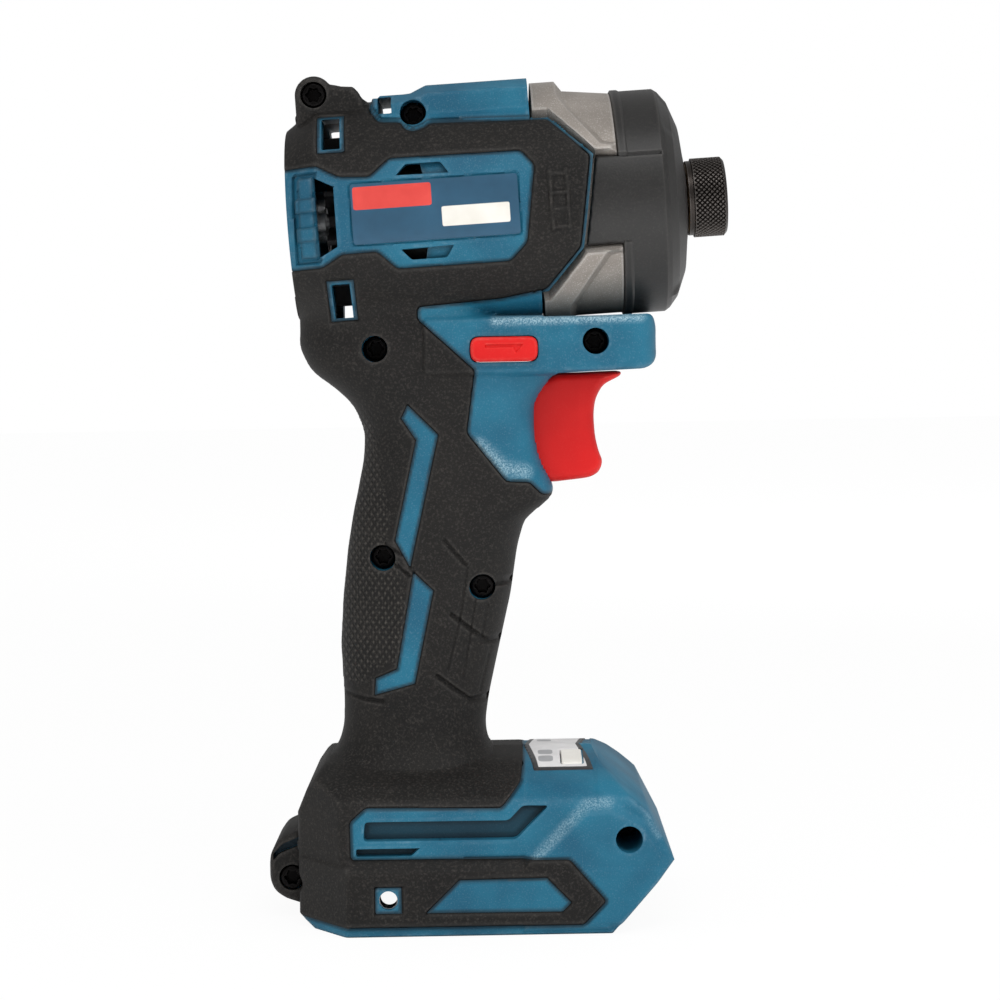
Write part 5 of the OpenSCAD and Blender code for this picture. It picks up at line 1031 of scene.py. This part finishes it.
springs = {  # coil and wire radius, ends, turns; keep is the share of its length left at the joint's limit
    "hammerSpringWound": {"r": 14.1, "wire": 1.0, "ends": (10.05, 22.85), "turns": 3, "node": "hammer_spring",
                          "body": "spindle", "joint": "hammer_slide", "held": 0, "keep": 0.56},
    "sleeveSpringWound": {"r": 7.15, "wire": 0.35, "ends": (50.85, 55.5), "turns": 2.5, "node": "sleeve_spring",
                          "body": "anvil", "joint": "sleeve_slide", "held": 1, "keep": 0.39},
    "triggerSpringWound": {"r": 4.0, "wire": 0.4, "ends": (-3.35, 3.95), "turns": 4, "node": "trigger_spring",
                           "body": "trigger", "joint": "trigger_slide", "held": 1, "keep": 0.31},
}
triggerHeight, ringsPerTurn, wireSides = 119.2, 48, 12


def triggerPoints(x, y, up):  # points about the trigger's own axis, as object points
    return np.stack([x, y, triggerHeight + up], -1)


for name, spring in springs.items():  # a tube whose centre climbs evenly round the axis, closed at both ends
    x0, x1 = spring["ends"]
    last = int(ringsPerTurn * spring["turns"])
    ring, wall = np.meshgrid(np.arange(last + 1), np.arange(wireSides), indexing="ij")
    around, across = 2 * np.pi * ring / ringsPerTurn, 2 * np.pi * wall / wireSides
    q = spring["r"] + spring["wire"] * np.cos(across)
    along = x0 + spring["wire"] * (1 + np.sin(across)) + (x1 - x0 - 2 * spring["wire"]) * ring / last
    place = triggerPoints if spring["body"] == "trigger" else headPoints
    points = place(along, q * np.cos(around), q * np.sin(around)).reshape(-1, 3)
    ends = place(np.array([x0, x1]), np.zeros(2), np.zeros(2))
    start = np.arange(last)[:, None] * wireSides
    near = (start + np.arange(wireSides)).ravel()
    beside = (start + np.roll(np.arange(wireSides), -1)).ravel()
    fan = np.stack([np.zeros(wireSides - 2, int), np.arange(2, wireSides), np.arange(1, wireSides - 1)], 1)
    faces = np.concatenate([np.stack([near, near + wireSides, beside], 1),
                            np.stack([beside, near + wireSides, beside + wireSides], 1),
                            fan[:, ::-1], fan + last * wireSides])
    piece = makePiece(name, points, faces, finishes["springSteel"], spring["body"], [spring["node"]],
                      "spring_steel")
    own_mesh(piece)
print("springs made")

view = {"place": (1.02, -576.9, 137.3), "pitch": 2.1, "roll": 1.02, "lens": 83.4, "sensor": 36.0, "shift": -0.06}
camera = bpy.data.objects.new("camera", bpy.data.cameras.new("camera"))
camera.data.lens = view["lens"]
camera.data.sensor_width = view["sensor"]
camera.location = [p * 0.001 for p in view["place"]]
camera.rotation_euler = (math.radians(90 - view["pitch"]), math.radians(view["roll"]), 0)
camera.data.shift_y = view["shift"]
camera.data.clip_start = 0.01
bpy.context.scene.collection.objects.link(camera)
bpy.context.scene.camera = camera

# lamps: place, what they point at, width and height, all in metres, and power; world: the room's light by ray
studio = {"keyLight": ((0.22, -0.48, 0.78), (0, 0, 0.17), (0.8, 0.6), 11.5),
          "fillLight": ((-0.85, -0.6, 0.4), (0, 0, 0.1), (0.7, 0.7), 9.5),
          "rimLight": ((0.3, 0.8, 0.6), (0, 0, 0.12), (0.8, 0.5), 4.0),
          "world": 0.95, "gloss": 0.45, "paper": 0.86, "floorGlow": 0.94, "floorHalf": 4}
for name in ("keyLight", "fillLight", "rimLight"):
    place, target, size, power = studio[name]
    lamp = bpy.data.lights.new(name, "AREA")
    lamp.shape = "RECTANGLE"
    lamp.size, lamp.size_y = size
    lamp.energy = power
    softbox = bpy.data.objects.new(name, lamp)
    way = np.array(target) - np.array(place)
    way = way / np.linalg.norm(way)
    softbox.location = place
    softbox.rotation_euler = (math.acos(-way[2]), 0, math.atan2(way[0], -way[1]))
    bpy.context.scene.collection.objects.link(softbox)

world = bpy.data.worlds.new("studioWhite")
bpy.context.scene.world = world
world.use_nodes = True
tree = world.node_tree
tree.nodes.clear()
rays = addNode(tree, "LightPath").node.outputs
back = addNode(tree, "SeparateXYZ", {0: addNode(tree, "TexCoord", out="Generated")}, 1)
# in gloss the room is dimmer on the camera's side
behind = addNode(tree, "MapRange", {0: back, 1: -0.6, 2: 0.4, 3: 0.8, 4: 1.0})
before = addNode(tree, "MapRange", {0: back, 1: -0.8, 2: 0.3, 3: 1.2, 4: 0.85})
mirrored = addNode(tree, "Math", {0: rays["Is Glossy Ray"], 1: rays["Is Transmission Ray"]},
                   operation="MAXIMUM")
plain = addNode(tree, "Background", {"Strength": studio["world"], "Color": before})
shiny = addNode(tree, "Background", {"Strength": studio["gloss"], "Color": behind})
white = addNode(tree, "Background", {"Strength": 1.0, "Color": (1, 1, 1, 1)})
lit = addNode(tree, "MixShader", {0: mirrored, 1: plain, 2: shiny})
seen = addNode(tree, "MixShader", {0: rays["Is Camera Ray"], 1: lit, 2: white})
addNode(tree, "OutputWorld", {"Surface": seen})

floorMaterial, tree = newMaterial("paperWhite")
paper = addNode(tree, "BsdfDiffuse", {"Color": (studio["paper"], studio["paper"], studio["paper"], 1)})
glow = addNode(tree, "Emission", {"Color": (1, 1, 1, 1), "Strength": 1.0})
toCamera = addNode(tree, "LightPath", out="Is Camera Ray")
share = addNode(tree, "Math", {0: toCamera, 1: studio["floorGlow"]}, operation="MULTIPLY")
addNode(tree, "OutputMaterial", {"Surface": addNode(tree, "MixShader", {0: share, 1: paper, 2: glow})})
reach = studio["floorHalf"]
sheet = bpy.data.meshes.new("floor")
sheet.from_pydata([(-reach, -reach, 0), (reach, -reach, 0), (reach, reach, 0), (-reach, reach, 0)], [],
                  [(0, 1, 2, 3)])
sheet.materials.append(floorMaterial)
floor = bpy.data.objects.new("floor", sheet)
bpy.context.scene.collection.objects.link(floor)
bpy.context.scene.view_settings.view_transform = "Standard"
print("camera, lamps and floor set")
